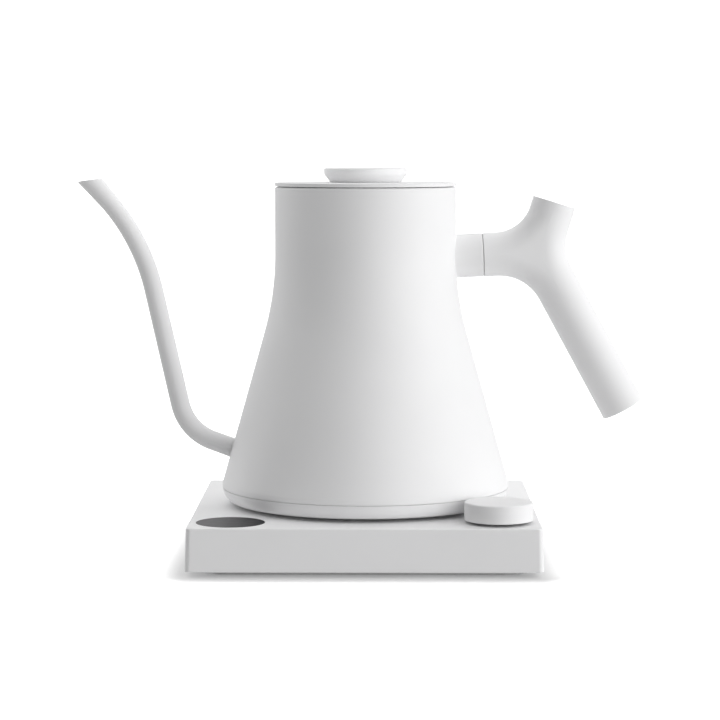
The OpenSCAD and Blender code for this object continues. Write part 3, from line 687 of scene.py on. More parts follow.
@dataclass
class Vessel:
    """The drawn steel vessel: a cone that sweeps into a straight neck, with a turned-in mouth."""

    book: FinishBook
    neck_r: float = 46 * MM
    cone_angle: float = 15.7
    corner_z: float = 131.7 * MM
    sweep_r: float = 147 * MM
    foot_r: float = 9.5 * MM
    foot_above_seam: float = 0.9 * MM
    sheet: float = 1 * MM
    mouth_r: float = 39 * MM
    mouth_depth: float = 9 * MM
    foot_edge: float = 0.25 * MM
    rim_round: float = 1.1 * MM
    mouth_round: float = 0.5 * MM
    hem_round: float = 0.3 * MM
    fold_round: float = 0.2 * MM
    foot_steps: int = 8
    sweep_steps: int = 24
    past_wall: float = 60 * MM
    halvings: int = 40
    sides: int = 192

    def __post_init__(self) -> None:
        """Works out the outline's centres from the frame and the driving sizes."""
        low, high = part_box("kettle_body")
        slope = math.radians(self.cone_angle)
        self.seam_z, self.rim_z = low.z, high.z
        self.foot_z = self.seam_z + self.foot_above_seam
        cone_r = self.neck_r + (self.corner_z - self.foot_z) * math.tan(slope)
        self.foot_cr = cone_r - self.foot_r / math.cos(slope)
        self.sweep_z = self.corner_z + self.sweep_r * math.tan(slope / 2)

    def foot_angle(self, z: float) -> float:
        """Angle on the rounded foot at a height, in degrees."""
        return math.degrees(math.asin((z - self.foot_z) / self.foot_r))

    def radius_at(self, z: float) -> float:
        """Outer radius of the vessel at a height.

        Args:
            z: the height, above the rounded foot.

        Returns:
            The radius.
        """
        slope = math.radians(self.cone_angle)
        if z >= self.sweep_z:
            return self.neck_r
        if z >= self.sweep_z - self.sweep_r * math.sin(slope):
            return self.neck_r + self.sweep_r - math.sqrt(self.sweep_r**2 - (self.sweep_z - z) ** 2)
        return self.neck_r + (self.corner_z - z) * math.tan(slope)

    def outline(self) -> list[Point2]:
        """The wall's closed outline, from the foot's seam up outside and back down inside."""
        turn, foot = (self.neck_r + self.sweep_r, self.sweep_z), (self.foot_cr, self.foot_z)
        seam = self.foot_angle(self.seam_z + self.foot_edge)
        inner_seam = math.degrees(math.asin((self.seam_z - self.foot_z) / (self.foot_r - self.sheet)))
        outside = arc(foot, self.foot_r, seam, self.cone_angle, self.foot_steps)
        outside += arc(turn, self.sweep_r, 180 + self.cone_angle, 180, self.sweep_steps)
        inside = arc(turn, self.sweep_r + self.sheet, 180, 180 + self.cone_angle, self.sweep_steps)
        inside += arc(foot, self.foot_r - self.sheet, self.cone_angle, inner_seam, self.foot_steps)
        hem_z, fold_z = self.rim_z - self.mouth_depth, self.rim_z - self.sheet
        outer_r = self.mouth_r + self.sheet
        mouth = rounded([
            (*outside[-1], 0), (self.neck_r, self.rim_z, self.rim_round),
            (self.mouth_r, self.rim_z, self.mouth_round), (self.mouth_r, hem_z, self.hem_round),
            (outer_r, hem_z, self.hem_round), (outer_r, fold_z, self.fold_round),
            (self.neck_r - self.sheet, fold_z, self.hem_round), (*inside[0], 0),
        ])
        edge_r = self.foot_cr + self.foot_r * math.cos(math.radians(seam)) - self.foot_edge
        edge = (edge_r, self.seam_z)
        return outside + mouth[1:-1] + inside + [edge]

    def build(self) -> None:
        """Makes the wall, painted outside and bare steel inside."""
        outline = self.outline()
        mesh = bmesh.new()
        past_mouth, hem_z = len(outline) // 3, self.rim_z - self.mouth_depth
        first_inner = next(i for i, p in enumerate(outline) if p[1] < hem_z and i > past_mouth)
        skins = [int(i >= first_inner) for i in range(len(outline) - 2)]
        add_rings(mesh, turned_rings(outline, self.sides), True, skins)
        finishes = [self.book.get("white_powder_coat"), self.book.get("brushed_steel")]
        settle(make_piece("kettle_body_wall", mesh, finishes), "kettle", ["kettle_body"])

    def meet_wall(self, start: Vector, along: Vector, reach: float) -> Vector:
        """The point where a line leaves the vessel's wall.

        Args:
            start: a point inside the vessel.
            along: unit direction of the line.
            reach: a length that is sure to end outside.

        Returns:
            The point on the outer face of the wall.
        """
        near, far = 0.0, reach
        for _ in range(self.halvings):
            middle = (near + far) / 2
            p = start + along * middle
            if math.hypot(p.x, p.y) < self.radius_at(p.z):
                near = middle
            else:
                far = middle
        return start + along * near

    def ring_on_wall(self, ring: Ring, along: Vector, lift: float) -> Ring:
        """Carries a ring of points along a direction to the wall.

        Args:
            ring: points inside the vessel.
            along: unit direction in which they move.
            lift: how far past the wall they go.

        Returns:
            The points on the wall, or past it.
        """
        return [self.meet_wall(p, along, self.past_wall) + along * lift for p in ring]


@dataclass
class BottomHousing:
    """The moulded underside of the kettle, which carries the foot's round edge on downwards."""

    book: FinishBook
    vessel: Vessel
    hole_r: float = 18.6 * MM
    floor: float = 2.2 * MM
    seam: float = 0.15 * MM
    spigot_gap: float = 0.6 * MM
    spigot_wall: float = 2 * MM
    web: float = 3 * MM
    edge: float = 0.3 * MM
    soft: float = 0.5 * MM
    crisp: float = 0.2 * MM

    def build(self) -> None:
        """Makes the housing as one turned shell with a spigot inside the vessel."""
        v = self.vessel
        low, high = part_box("bottom_housing")
        top = v.seam_z - self.seam
        foot = arc((v.foot_cr, v.foot_z), v.foot_r, v.foot_angle(low.z), v.foot_angle(top), 10)
        spigot = v.foot_cr + v.foot_r - v.sheet - self.spigot_gap
        inside, floor_z = spigot - self.spigot_wall, low.z + self.floor
        outline = [(self.hole_r, low.z + self.edge), (self.hole_r + self.edge, low.z)]
        outline += [(foot[0][0] - self.soft, low.z)] + foot[1:-1]
        outline += rounded([
            (*foot[-1], 0), (foot[-1][0] - self.crisp, top, 0), (spigot, top, self.crisp / 2),
            (spigot, high.z, self.crisp), (inside, high.z, self.crisp),
            (inside, floor_z + self.web, self.soft), (inside - self.web, floor_z, self.soft),
            (self.hole_r, floor_z, 0),
        ])
        mesh = bmesh.new()
        add_rings(mesh, turned_rings(outline, v.sides), True)
        piece = make_piece("bottom_housing_shell", mesh, [self.book.get("white_moulding")])
        settle(piece, "kettle", ["bottom_housing"])


@dataclass
class Lid:
    """The flat lid plate and its knob."""

    book: FinishBook
    plate_r: float = 46 * MM
    knob_r: float = 21 * MM
    knob_foot_r: float = 17.6 * MM
    knob_under: float = 4.2 * MM
    knob_crown: float = 0.25 * MM
    screw_bore_r: float = 1.6 * MM
    sides: int = 160

    def build(self) -> None:
        """Makes the plate and the knob as two turned pieces."""
        low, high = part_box("lid_disc")
        outline = rounded([
            (self.screw_bore_r, low.z, 0), (self.plate_r, low.z, 0.15 * MM),
            (self.plate_r, high.z, 0.45 * MM), (self.screw_bore_r, high.z, 0),
        ])
        mesh = bmesh.new()
        add_rings(mesh, turned_rings(outline, self.sides), True)
        plate = make_piece("lid_plate", mesh, [self.book.get("white_powder_coat")])
        settle(plate, "lid", ["lid_disc"])
        low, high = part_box("lid_knob")
        outline = rounded([
            (0, low.z, 0), (self.knob_foot_r, low.z, 0.2 * MM),
            (self.knob_foot_r + 1.2 * MM, low.z + 1.1 * MM, 1.0 * MM),
            (self.knob_r, low.z + self.knob_under, self.knob_under * 0.75),
            (self.knob_r, high.z - self.knob_crown, 0.9 * MM),
            (self.knob_r / 2, high.z - self.knob_crown / 5, 20 * MM), (0, high.z, 0),
        ], 6)
        mesh = bmesh.new()
        add_rings(mesh, turned_rings(outline, self.sides), False)
        knob = make_piece("lid_knob_turned", mesh, [self.book.get("white_moulding")])
        settle(knob, "lid", ["lid_knob"])


@dataclass
class Spout:
    """The slender spout: two bends between three straight runs, and a drawn-out pouring lip."""

    book: FinishBook
    vessel: Vessel
    root: Point2 = (-66.3 * MM, 51.9 * MM)
    low_corner: Point2 = (-91.6 * MM, 61.1 * MM)
    high_corner: Point2 = (-113.3 * MM, 157.2 * MM)
    low_bend: float = 26 * MM
    high_bend: float = 104 * MM
    tip_angle: float = 129.0
    root_r: float = 5.0 * MM
    tip_r: float = 4.65 * MM
    wall: float = 0.8 * MM
    weld: float = 0.5 * MM
    mouth: Point2 = (-139.9 * MM, 189.0 * MM)
    lip_reach: float = 6.3 * MM
    heel_reach: float = 6.1 * MM
    mouth_half_width: float = 5.2 * MM
    mouth_tilt: float = 8.0
    flare_from: float = 17 * MM
    tip_run: float = 41 * MM
    root_run: float = 7 * MM
    ring_step: float = 1.6 * MM
    bend_steps: int = 48
    sides: int = 48

    def centre_line(self) -> list[Vector]:
        """Points along the middle of the tube, from inside the wall to just under the mouth."""
        root, low, high = Vector(self.root), Vector(self.low_corner), Vector(self.high_corner)
        end = high + unit(self.tip_angle) * self.tip_run
        inside = root + (root - low).normalized() * self.root_run
        bends = ((inside, 0), (low, self.low_bend), (high, self.high_bend), (end, 0))
        path = rounded([(*corner, bend) for corner, bend in bends], self.bend_steps)
        return self.evenly([Vector(p) for p in path], self.ring_step)

    @staticmethod
    def evenly(path: list[Vector], step: float) -> list[Vector]:
        """Points at even distances along a path.

        Args:
            path: the path's points.
            step: wanted distance.

        Returns:
            The new points, ends included.
        """
        lengths = [0.0]
        for a, b in zip(path, path[1:]):
            lengths.append(lengths[-1] + (b - a).length)
        count = round(lengths[-1] / step)
        points, k = [], 0
        for i in range(count + 1):
            want = lengths[-1] * i / count
            while k < len(path) - 2 and lengths[k + 1] < want:
                k += 1
            share = (want - lengths[k]) / max(lengths[k + 1] - lengths[k], 1e-9)
            points.append(path[k].lerp(path[k + 1], share))
        return points

    def ring(self, centre: Vector, along: Vector, front: float, back: float, side: float) -> Ring:
        """One ring of the tube, drawn out differently at the front and the back.

        Args:
            centre: the ring's centre in the plane of the spout.
            along: direction of the tube there.
            front: reach towards the outside of the upper bend.
            back: reach towards the vessel.
            side: half width across.

        Returns:
            The ring's points.
        """
        out = Vector((-along.y, along.x))
        points: Ring = []
        for i in range(self.sides):
            turn = 2 * math.pi * i / self.sides
            reach = (front if math.cos(turn) > 0 else back) * math.cos(turn)
            p = centre + out * reach
            points.append(Vector((p.x, side * math.sin(turn), p.y)))
        return points

    def skin(self, inset: float) -> list[Ring]:
        """The tube's rings from root to mouth.

        Args:
            inset: how far the rings lie inside the outer face.

        Returns:
            The rings.
        """
        line = self.centre_line()
        total = sum((b - a).length for a, b in zip(line, line[1:]))
        mouth_along = unit(90 + self.mouth_tilt)
        rings, gone = [], 0.0
        for i, p in enumerate(line):
            if i:
                gone += (p - line[i - 1]).length
            along = (line[min(i + 1, len(line) - 1)] - line[max(i - 1, 0)]).normalized()
            r = self.root_r + (self.tip_r - self.root_r) * gone / total - inset
            share = max(0.0, 1 - (total - gone) / self.flare_from)
            share = share * share * (3 - 2 * share)
            centre = p.lerp(Vector(self.mouth), share)
            aim = along.slerp(mouth_along, share)
            wide = (self.lip_reach, self.heel_reach, self.mouth_half_width)
            rings.append(self.ring(centre, aim, *(r + (reach - inset - r) * share for reach in wide)))
        return rings

    def build(self) -> None:
        """Makes the hollow tube with a rolled lip and a small weld at its root."""
        outer, inner = self.skin(0), self.skin(self.wall)
        lip = []
        for share, height in ((0.12, 0.315), (0.5, 0.45), (0.88, 0.315)):
            lift = Vector((0, 0, self.wall * height))
            lip.append([a.lerp(b, share) + lift for a, b in zip(outer[-1], inner[-1])])
        rings = outer + lip + inner[::-1]
        mesh = bmesh.new()
        skins = [0] * (len(outer) + 1) + [1] * len(inner)
        add_rings(mesh, rings, True, skins)
        finishes = [self.book.get("white_powder_coat"), self.book.get("brushed_steel")]
        settle(make_piece("spout_tube", mesh, finishes, 60), "kettle", ["spout"])
        self.build_weld()

    def build_weld(self) -> None:
        """Makes the small fillet where the tube leaves the vessel's wall."""
        line = self.centre_line()
        along, start = in_space((line[1] - line[0]).normalized()), in_space(line[0])
        across = Vector((-along.z, 0, along.x))
        inner, sunk = self.root_r - 0.3 * MM, -0.4 * MM
        profile = fillet(self.root_r, self.weld, 4)
        profile += [(inner, self.weld), (inner, sunk), (self.root_r + self.weld, sunk)]
        rings = [self.vessel.ring_on_wall(round_axis(start, across, r, self.sides), along, lift)
                 for r, lift in profile]
        mesh = bmesh.new()
        add_rings(mesh, rings, True)
        weld = make_piece("spout_weld", mesh, [self.book.get("white_powder_coat")], 70)
        settle(weld, "kettle")


@dataclass
class Limb:
    """One limb of the handle: its direction, its length and the steps of its end."""

    angle: float
    length: float
    end: tuple[Point2, ...]


@dataclass
class Side:
    """One side of the handle's skin: its rows of points and where it parts from its neighbours."""

    rows: list[list]
    lead: int
    tail: int
    own_start: int
    own_end: int


@dataclass
class Handle:
    """The forked handle: three round limbs in one plane that flow into each other."""

    book: FinishBook
    vessel: Vessel
    fork: Point2 = (88 * MM, 152.7 * MM)
    radius: float = 11.15 * MM
    seam_x: float = 59.8 * MM
    arm_angle: float = 182.6
    thumb_angle: float = 73.0
    grip_angle: float = -61.4
    thumb_length: float = 26.7 * MM
    grip_length: float = 90.8 * MM
    blends: tuple[float, float, float] = (19 * MM, 23 * MM, 21 * MM)
    cap_seat: float = 2.2 * MM
    cap_inset: float = 0.9 * MM
    edge: float = 0.45 * MM
    end_wall: float = 2.7 * MM
    tenon_r: float = 6 * MM
    tenon_length: float = 32 * MM
    socket_gap: float = 0.05 * MM
    socket_depth: float = 20 * MM
    grip_bore: float = 66 * MM
    thumb_bore: float = 12 * MM
    stub_start: float = 68 * MM
    stub_weld: float = 0.6 * MM
    stub_seam: float = 0.25 * MM
    stub_edge: float = 0.35 * MM
    stub_sides: int = 64
    hollow_steps: int = 20
    quarter: int = 12
    sewn: int = 3

    def limbs(self) -> list[Limb]:
        """The arm, the grip and the thumb rest, in turning order from the arm."""
        arm = (self.fork[0] - self.seam_x) / math.cos(math.radians(self.arm_angle - 180))
        seat, bore = self.radius - self.cap_inset, self.radius - self.end_wall
        socket_r = self.tenon_r + self.socket_gap
        rim = ((seat, 0.0), (seat, -self.cap_seat), (bore, -self.cap_seat))
        socket = ((socket_r, 0.0), (socket_r, -self.socket_depth), (0, -self.socket_depth))
        limbs = [Limb(self.arm_angle, arm, socket)]
        for angle, length, depth in ((self.grip_angle, self.grip_length, self.grip_bore),
                                     (self.thumb_angle, self.thumb_length, self.thumb_bore)):
            limbs.append(Limb(angle + 360, length, (*rim, (bore, -depth), (0, -depth))))
        return limbs

    def side(self, a: Limb, b: Limb, blend: float, starts: list[float], ends: list[float]) -> list[tuple]:
        """Stations along one side of the handle, between two neighbouring limbs.

        Args:
            a: the limb where the side begins.
            b: the limb where it ends.
            blend: radius of the hollow between them.
            starts: distances along limb a, falling.
            ends: distances along limb b, rising.

        Returns:
            For each station a point on the outline and the direction inwards, both in the plane.
        """
        fork = Vector(self.fork)
        inward_a, inward_b = unit(a.angle - 90), unit(b.angle + 90)
        half = (b.angle - a.angle) / 2
        centre = fork + unit(a.angle + half) * ((blend + self.radius) / math.sin(math.radians(half)))
        stations = [(fork + unit(a.angle) * d - inward_a * self.radius, inward_a) for d in starts]
        turn = 180 - 2 * half
        for i in range(1, self.hollow_steps):
            inward = unit(a.angle - 90 - turn * i / self.hollow_steps)
            stations.append((centre + inward * blend, inward))
        stations += [(fork + unit(b.angle) * d - inward_b * self.radius, inward_b) for d in ends]
        return stations

    def tangent_at(self, a: Limb, b: Limb, blend: float) -> float:
        """Where the hollow between two limbs begins.

        Args:
            a: one limb.
            b: its neighbour.
            blend: radius of the hollow.

        Returns:
            The distance from the fork, along either limb.
        """
        half = abs(b.angle - a.angle) / 2
        return (blend + self.radius) / math.tan(math.radians(half))

    def build(self) -> None:
        """Makes the handle's skin from its three sides, its flat cheeks and its three ends."""
        limbs = self.limbs()
        arm, grip, thumb = limbs
        after = Limb(arm.angle + 360, arm.length, arm.end)
        pairs = [(arm, grip, self.blends[1]), (grip, thumb, self.blends[2]), (thumb, after, self.blends[0])]
        touch = [self.tangent_at(*pair) for pair in pairs]
        mesh = bmesh.new()
        sides = []
        for i, (a, b, blend) in enumerate(pairs):
            starts, lead = self.stops(a, touch[i], max(touch[i], touch[i - 1]))
            ends, tail = self.stops(b, touch[i], max(touch[i], touch[(i + 1) % 3]))
            rows = self.strip(mesh, self.side(a, b, blend, starts, ends[::-1]))
            own_start, own_end = len(starts) - 1 - lead, len(ends) - 1 - tail
            sides.append(Side(rows, lead, tail, own_start, own_end))
        self.close_cheeks(mesh, sides)
        bmesh.ops.remove_doubles(mesh, verts=mesh.verts[:], dist=0.005 * MM)
        self.close_ends(mesh, limbs)
        piece = make_piece("handle_skin", mesh, [self.book.get("white_moulding")], 40)
        settle(piece, "kettle", ["handle"])
        for limb, name, node in ((thumb, "thumb_end_cap", "thumb_cap"), (grip, "grip_end_cap", "grip_cap")):
            self.build_cap(limb, name, node)
        self.build_stub(arm)

    def stops(self, limb: Limb, first: float, common: float) -> tuple[list[float], int]:
        """Distances along a limb from its end to the hollow on one side.

        Args:
            limb: the limb.
            first: where this side's hollow begins.
            common: where the longer of the limb's two hollows begins.

        Returns:
            The distances, falling, and the place in them of the last one that both sides share.
        """
        last = limb.length - self.edge
        count = max(3, round((last - common) / (4 * MM)))
        shared = [last + (common - last) * i / count for i in range(count + 1)]
        own = []
        if common - first > 0.5 * MM:
            parts = max(1, round((common - first) / (2 * MM)))
            own = [common + (first - common) * i / parts for i in range(1, parts + 1)]
        return shared + own, count

    def strip(self, mesh: bmesh.types.BMesh, stations: list[tuple]) -> list[list]:
        """Adds one side's skin: half round at every station.

        Args:
            mesh: the mesh being built.
            stations: the side's points and inward directions.

        Returns:
            Its vertices, one list for each station.
        """
        rows = []
        for point, inward in stations:
            row = []
            for k in range(-self.quarter, self.quarter + 1):
                tilt = math.pi / 2 * k / self.quarter
                p = point + inward * (self.radius * (1 - math.cos(tilt)))
                row.append(mesh.verts.new((p.x, self.radius * math.sin(tilt), p.y)))
            rows.append(row)
        for low, high in zip(rows, rows[1:]):
            for k in range(2 * self.quarter):
                mesh.faces.new((low[k], low[k + 1], high[k + 1], high[k]))
        return rows

    def close_cheeks(self, mesh: bmesh.types.BMesh, sides: Sequence[Side]) -> None:
        """Fills the flat cheek that the three sides leave open at the front and at the back.

        Args:
            mesh: the mesh being built.
            sides: the three sides, in turning order.
        """
        for k in (0, 2 * self.quarter):
            chains = [[row[k] for row in side.rows[side.lead:len(side.rows) - side.tail]] for side in sides]
            middle = mesh.verts.new((self.fork[0], chains[0][0].co.y, self.fork[1]))
            sewn = []
            for n, side in enumerate(sides):
                left, right = chains[n - 1][::-1], chains[n]
                many = max(self.sewn, side.own_start, sides[n - 1].own_end)
                mesh.faces.new((left[0], right[1], left[1]))
                for j in range(1, many):
                    mesh.faces.new((left[j], right[j], right[j + 1], left[j + 1]))
                mesh.faces.new((middle, left[many], right[many]))
                sewn.append(many)
            for n, chain in enumerate(chains):
                rest = chain[sewn[n]:len(chain) - sewn[(n + 1) % 3]]
                for a, b in zip(rest, rest[1:]):
                    mesh.faces.new((middle, a, b))

    def close_ends(self, mesh: bmesh.types.BMesh, limbs: list[Limb]) -> None:
        """Adds the rounded edge, the seat and the bore at the end of each limb.

        Args:
            mesh: the mesh being built.
            limbs: the three limbs.
        """
        fork = in_space(Vector(self.fork))
        for limb in limbs:
            along = unit(limb.angle)
            axis, across = in_space(along), Vector((-along.y, 0, along.x))
            stop = limb.length - self.edge
            rim = [v for v in mesh.verts if v.is_boundary and abs((v.co - fork).dot(axis) - stop) < 0.02 * MM]
            rim.sort(key=lambda v: math.atan2(v.co.y, (v.co - fork).dot(across)))
            turns = [math.radians(a) for a in (22.5, 45, 67.5, 90)]
            steps = [(self.radius - self.edge * (1 - math.cos(a)), stop + self.edge * math.sin(a))
                     for a in turns]
            steps += [(r, limb.length + z) for r, z in limb.end]
            last = rim
            for r, reach in steps:
                if r < 1e-7:
                    ring = [mesh.verts.new(fork + axis * reach)]
                else:
                    ring = [mesh.verts.new(self.scaled(v.co, fork, axis, r, reach)) for v in rim]
                bridge(mesh, last, ring)
                last = ring

    @staticmethod
    def scaled(point: Vector, fork: Vector, axis: Vector, r: float, reach: float) -> Vector:
        """Moves a rim point to another radius and another distance along its limb.

        Args:
            point: the rim point.
            fork: where the limbs' axes meet.
            axis: unit direction of the limb.
            r: the new distance from the axis.
            reach: the new distance along it.

        Returns:
            The moved point.
        """
        offset = point - fork
        radial = offset - axis * offset.dot(axis)
        return fork + axis * reach + radial.normalized() * r

    def build_cap(self, limb: Limb, name: str, node: str) -> None:
        """Makes the round cap in the end of a limb.

        Args:
            limb: the limb that it closes.
            name: the piece's name.
            node: the frame node that it stands for.
        """
        r = self.radius - self.cap_inset - self.socket_gap
        bottom = self.socket_gap - self.cap_seat
        outline = rounded([(0, bottom, 0), (r, bottom, 0.2 * MM), (r, 0, 0.25 * MM), (0, 0, 0)])
        mesh = bmesh.new()
        add_rings(mesh, turned_rings(outline, 64), False)
        mesh.transform(self.limb_matrix(limb, limb.length))
        settle(make_piece(name, mesh, [self.book.get("white_moulding")]), "kettle", [node])

    def limb_matrix(self, limb: Limb, reach: float) -> Matrix:
        """Where a piece that was made about the upright axis goes on a limb.

        Args:
            limb: the limb.
            reach: distance from the fork.

        Returns:
            The move that takes the piece there.
        """
        axis = in_space(unit(limb.angle))
        at = in_space(Vector(self.fork)) + axis * reach
        return Matrix.Translation(at) @ axis.to_track_quat("Z", "Y").to_matrix().to_4x4()

    def build_stub(self, arm: Limb) -> None:
        """Makes the painted stub from the vessel's wall to the seam, with its weld and its tenon.

        Args:
            arm: the limb that it carries.
        """
        along = unit(arm.angle + 180)
        axis, across = in_space(along), Vector((-along.y, 0, along.x))
        start = in_space(Vector(self.fork)) - axis * self.stub_start
        r, weld, edge = self.radius - 0.05 * MM, self.stub_weld, self.stub_edge
        end = self.stub_start - arm.length - self.stub_seam
        sunk, tip = -0.5 * MM, end + self.tenon_length + 0.6 * MM

        rings: list[Ring] = []
        for radial, lift in [(r - 2 * MM, sunk), (r + weld, sunk)] + fillet(r, weld, 5):
            foot = round_axis(start, across, radial, self.stub_sides)
            rings.append(self.vessel.ring_on_wall(foot, axis, lift))
        turns = [math.radians(a) for a in (0, 30, 60, 90)]
        profile = [(r - edge * (1 - math.cos(a)), end - edge * (1 - math.sin(a))) for a in turns]
        profile += [(self.tenon_r, end), (self.tenon_r, end + self.tenon_length), (0.9 * self.tenon_r, tip)]
        for radial, reach in profile:
            rings.append(round_axis(start + axis * reach, across, radial, self.stub_sides))
        rings.append([start + axis * tip])
        mesh = bmesh.new()
        made = add_rings(mesh, rings, False)
        mesh.faces.new(made[0][::-1])
        piece = make_piece("handle_stub_tube", mesh, [self.book.get("white_powder_coat")], 40)
        settle(piece, "kettle", ["handle_stub"])


@dataclass
class PowerBase:
    """The square base: its moulded shell, the display window, the dial and the rubber foot."""

    book: FinishBook
    lean: float = 0.6 * MM
    wall: float = 2.4 * MM
    corner_r: float = 2.5 * MM
    top_round: float = 0.7 * MM
    low_round: float = 0.5 * MM
    inner_corner: float = 0.5 * MM
    connector_r: float = 17.5 * MM
    window_r: float = 16.9 * MM
    window_step_r: float = 14.5 * MM
    window_depth: float = 1.4 * MM
    bush_r: float = 3.7 * MM
    boss_r: float = 3.6 * MM
    boss_bore: float = 1.5 * MM
    boss_root: float = 0.3 * MM
    boss_clear: float = 2.3 * MM
    boss_at: Point2 = (71 * MM, 42 * MM)
    gland_z: float = 12.5 * MM
    gland_r: float = 5.45 * MM
    dial_wall: float = 2.4 * MM
    dial_hollow: float = 3 * MM
    dial_boss_r: float = 6 * MM
    dial_boss_up: float = 1.4 * MM
    dial_bore_r: float = 3.02 * MM
    dial_crown: float = 0.12 * MM
    foot_strip: float = 8 * MM
    foot_edge: float = 0.4 * MM
    groove_depth: float = 0.35 * MM
    groove_half: float = 1.2 * MM
    groove_floor_half: float = 0.9 * MM
    small_sides: int = 32
    round_sides: int = 128

    def __post_init__(self) -> None:
        """Reads the base's box and the places of its controls from the frame."""
        self.low, self.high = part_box("base_shell")
        self.half = self.high.x
        self.top = self.high.z
        self.window_at = self.centre("display_lens")
        self.dial_at = self.centre("dial_knob")

    @staticmethod
    def centre(node: str) -> Point2:
        """The middle of a frame node in plan."""
        low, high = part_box(node)
        return ((low.x + high.x) / 2, (low.y + high.y) / 2)

    def build(self) -> None:
        """Makes all the base's visible pieces."""
        self.build_shell()
        self.build_window()
        self.build_dial()
        self.build_foot()

    def skin_rings(self) -> list[Ring]:
        """Outer rings of the shell from its inner lower edge to the end of the rounded top edge."""
        inner = self.half - self.lean - self.wall
        high = self.half - self.lean
        rings = [square_ring(inner, self.inner_corner, self.low.z)]
        for a in (0, 30, 60, 90):
            s, c = math.sin(math.radians(a)), math.cos(math.radians(a))
            inset = self.low_round * (1 - s)
            z = self.low.z + self.low_round * (1 - c)
            rings.append(square_ring(self.half - inset, self.corner_r - inset, z))
        for a in (0, 15, 30, 45, 60, 75, 90):
            s, c = math.sin(math.radians(a)), math.cos(math.radians(a))
            inset = self.top_round * (1 - c)
            z = self.top - self.top_round * (1 - s)
            rings.append(square_ring(high - inset, self.corner_r - inset, z))
        return rings

    def build_shell(self) -> None:
        """Makes the shell with its holes for the connector, the window and the dial's bush."""
        ceiling = self.top - self.wall
        inner = self.half - self.lean - self.wall
        mesh = bmesh.new()
        made = add_rings(mesh, self.skin_rings(), False)
        sides = self.round_sides
        step = self.top - self.window_depth
        shapes = [
            [(self.connector_r, (0, 0), self.top), (self.connector_r, (0, 0), ceiling)],
            [(self.window_r, self.window_at, self.top), (self.window_r, self.window_at, step),
             (self.window_step_r, self.window_at, step), (self.window_step_r, self.window_at, ceiling)],
            [(self.bush_r, self.dial_at, self.top), (self.bush_r, self.dial_at, ceiling)],
        ]
        holes = [add_rings(mesh, [circle_ring(r, at, z, sides) for r, at, z in shape], False)
                 for shape in shapes]
        fill_level(mesh, [made[-1]] + [hole[0] for hole in holes])
        under = [mesh.verts.new(p) for p in square_ring(inner, self.inner_corner, ceiling)]
        fill_level(mesh, [under] + [hole[-1] for hole in holes])
        bridge(mesh, under, made[0])
        root, end = ceiling + self.boss_root, self.low.z + self.boss_clear
        boss = rounded([(self.boss_bore, root, 0), (self.boss_bore, end, 0),
                        (self.boss_r, end, 0.4 * MM), (self.boss_r, root, 0)])
        for sx, sy in ((-1, -1), (-1, 1), (1, -1), (1, 1)):
            at = Vector((sx * self.boss_at[0], sy * self.boss_at[1], 0))
            add_rings(mesh, turned_rings(boss, self.small_sides, at), True)
        shell = make_piece("base_shell_moulding", mesh, [self.book.get("white_moulding")])
        self.cut_gland(shell)
        settle(shell, "base", ["base_shell"])

    def cut_gland(self, shell: bpy.types.Object) -> None:
        """Cuts the round hole for the cord gland through the rear wall.

        Args:
            shell: the base's shell, whose mesh is replaced.
        """
        mesh = bmesh.new()
        past = 4 * MM
        outline = [(0, -past), (self.gland_r, -past), (self.gland_r, past), (0, past)]
        add_rings(mesh, turned_rings(outline, 48), False)
        mesh.transform(Matrix.Translation((0, self.half - self.lean, self.gland_z))
                       @ Matrix.Rotation(math.pi / 2, 4, "X"))
        cutter = make_piece("gland_cutter", mesh, [])
        cut = shell.modifiers.new("gland hole", "BOOLEAN")
        cut.operation, cut.object, cut.solver = "DIFFERENCE", cutter, "EXACT"
        shell.modifiers.move(1, 0)
        bpy.context.view_layer.update()
        graph = bpy.context.evaluated_depsgraph_get()
        shell.modifiers["even shading"].show_viewport = False
        graph.update()
        result = bpy.data.meshes.new_from_object(shell.evaluated_get(graph), depsgraph=graph)
        shell.modifiers.remove(cut)
        shell.modifiers["even shading"].show_viewport = True
        shell.data = result
        bpy.data.objects.remove(cutter)

    def build_window(self) -> None:
        """Makes the smoked display window, flush with the top."""
        low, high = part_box("display_lens")
        r = (high.x - low.x) / 2
        at = Vector((*self.window_at, 0))
        outline = rounded([(0, low.z, 0), (r, low.z, 0.1 * MM), (r, high.z, 0.15 * MM), (0, high.z, 0)])
        mesh = bmesh.new()
        add_rings(mesh, turned_rings(outline, self.round_sides, at), False)
        window = make_piece("display_window", mesh, [self.book.get("smoked_window")])
        settle(window, "base", ["display_lens"])

    def build_dial(self) -> None:
        """Makes the dial: a plain turned cap with a shallow crown, hollow below."""
        low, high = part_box("dial_knob")
        r = (high.x - low.x) / 2
        at = Vector((*self.dial_at, 0))
        hollow, bore = high.z - self.dial_hollow, high.z - self.dial_wall
        boss_z, inner = low.z + self.dial_boss_up, r - self.dial_wall
        outline = rounded([
            (0, bore, 0), (self.dial_bore_r, bore, 0), (self.dial_bore_r, boss_z, 0.1 * MM),
            (self.dial_boss_r, boss_z, 0.2 * MM), (self.dial_boss_r, hollow, 0.3 * MM),
            (inner, hollow, 0.3 * MM), (inner, low.z, 0.3 * MM), (r, low.z, 0.45 * MM),
            (r, high.z - self.dial_crown, 0.8 * MM), (r / 2, high.z - self.dial_crown / 6, 40 * MM),
            (0, high.z, 0),
        ], 6)
        mesh = bmesh.new()
        add_rings(mesh, turned_rings(outline, self.round_sides, at), False)
        dial = make_piece("dial_cap", mesh, [self.book.get("white_moulding")])
        settle(dial, "dial", ["dial_knob"])

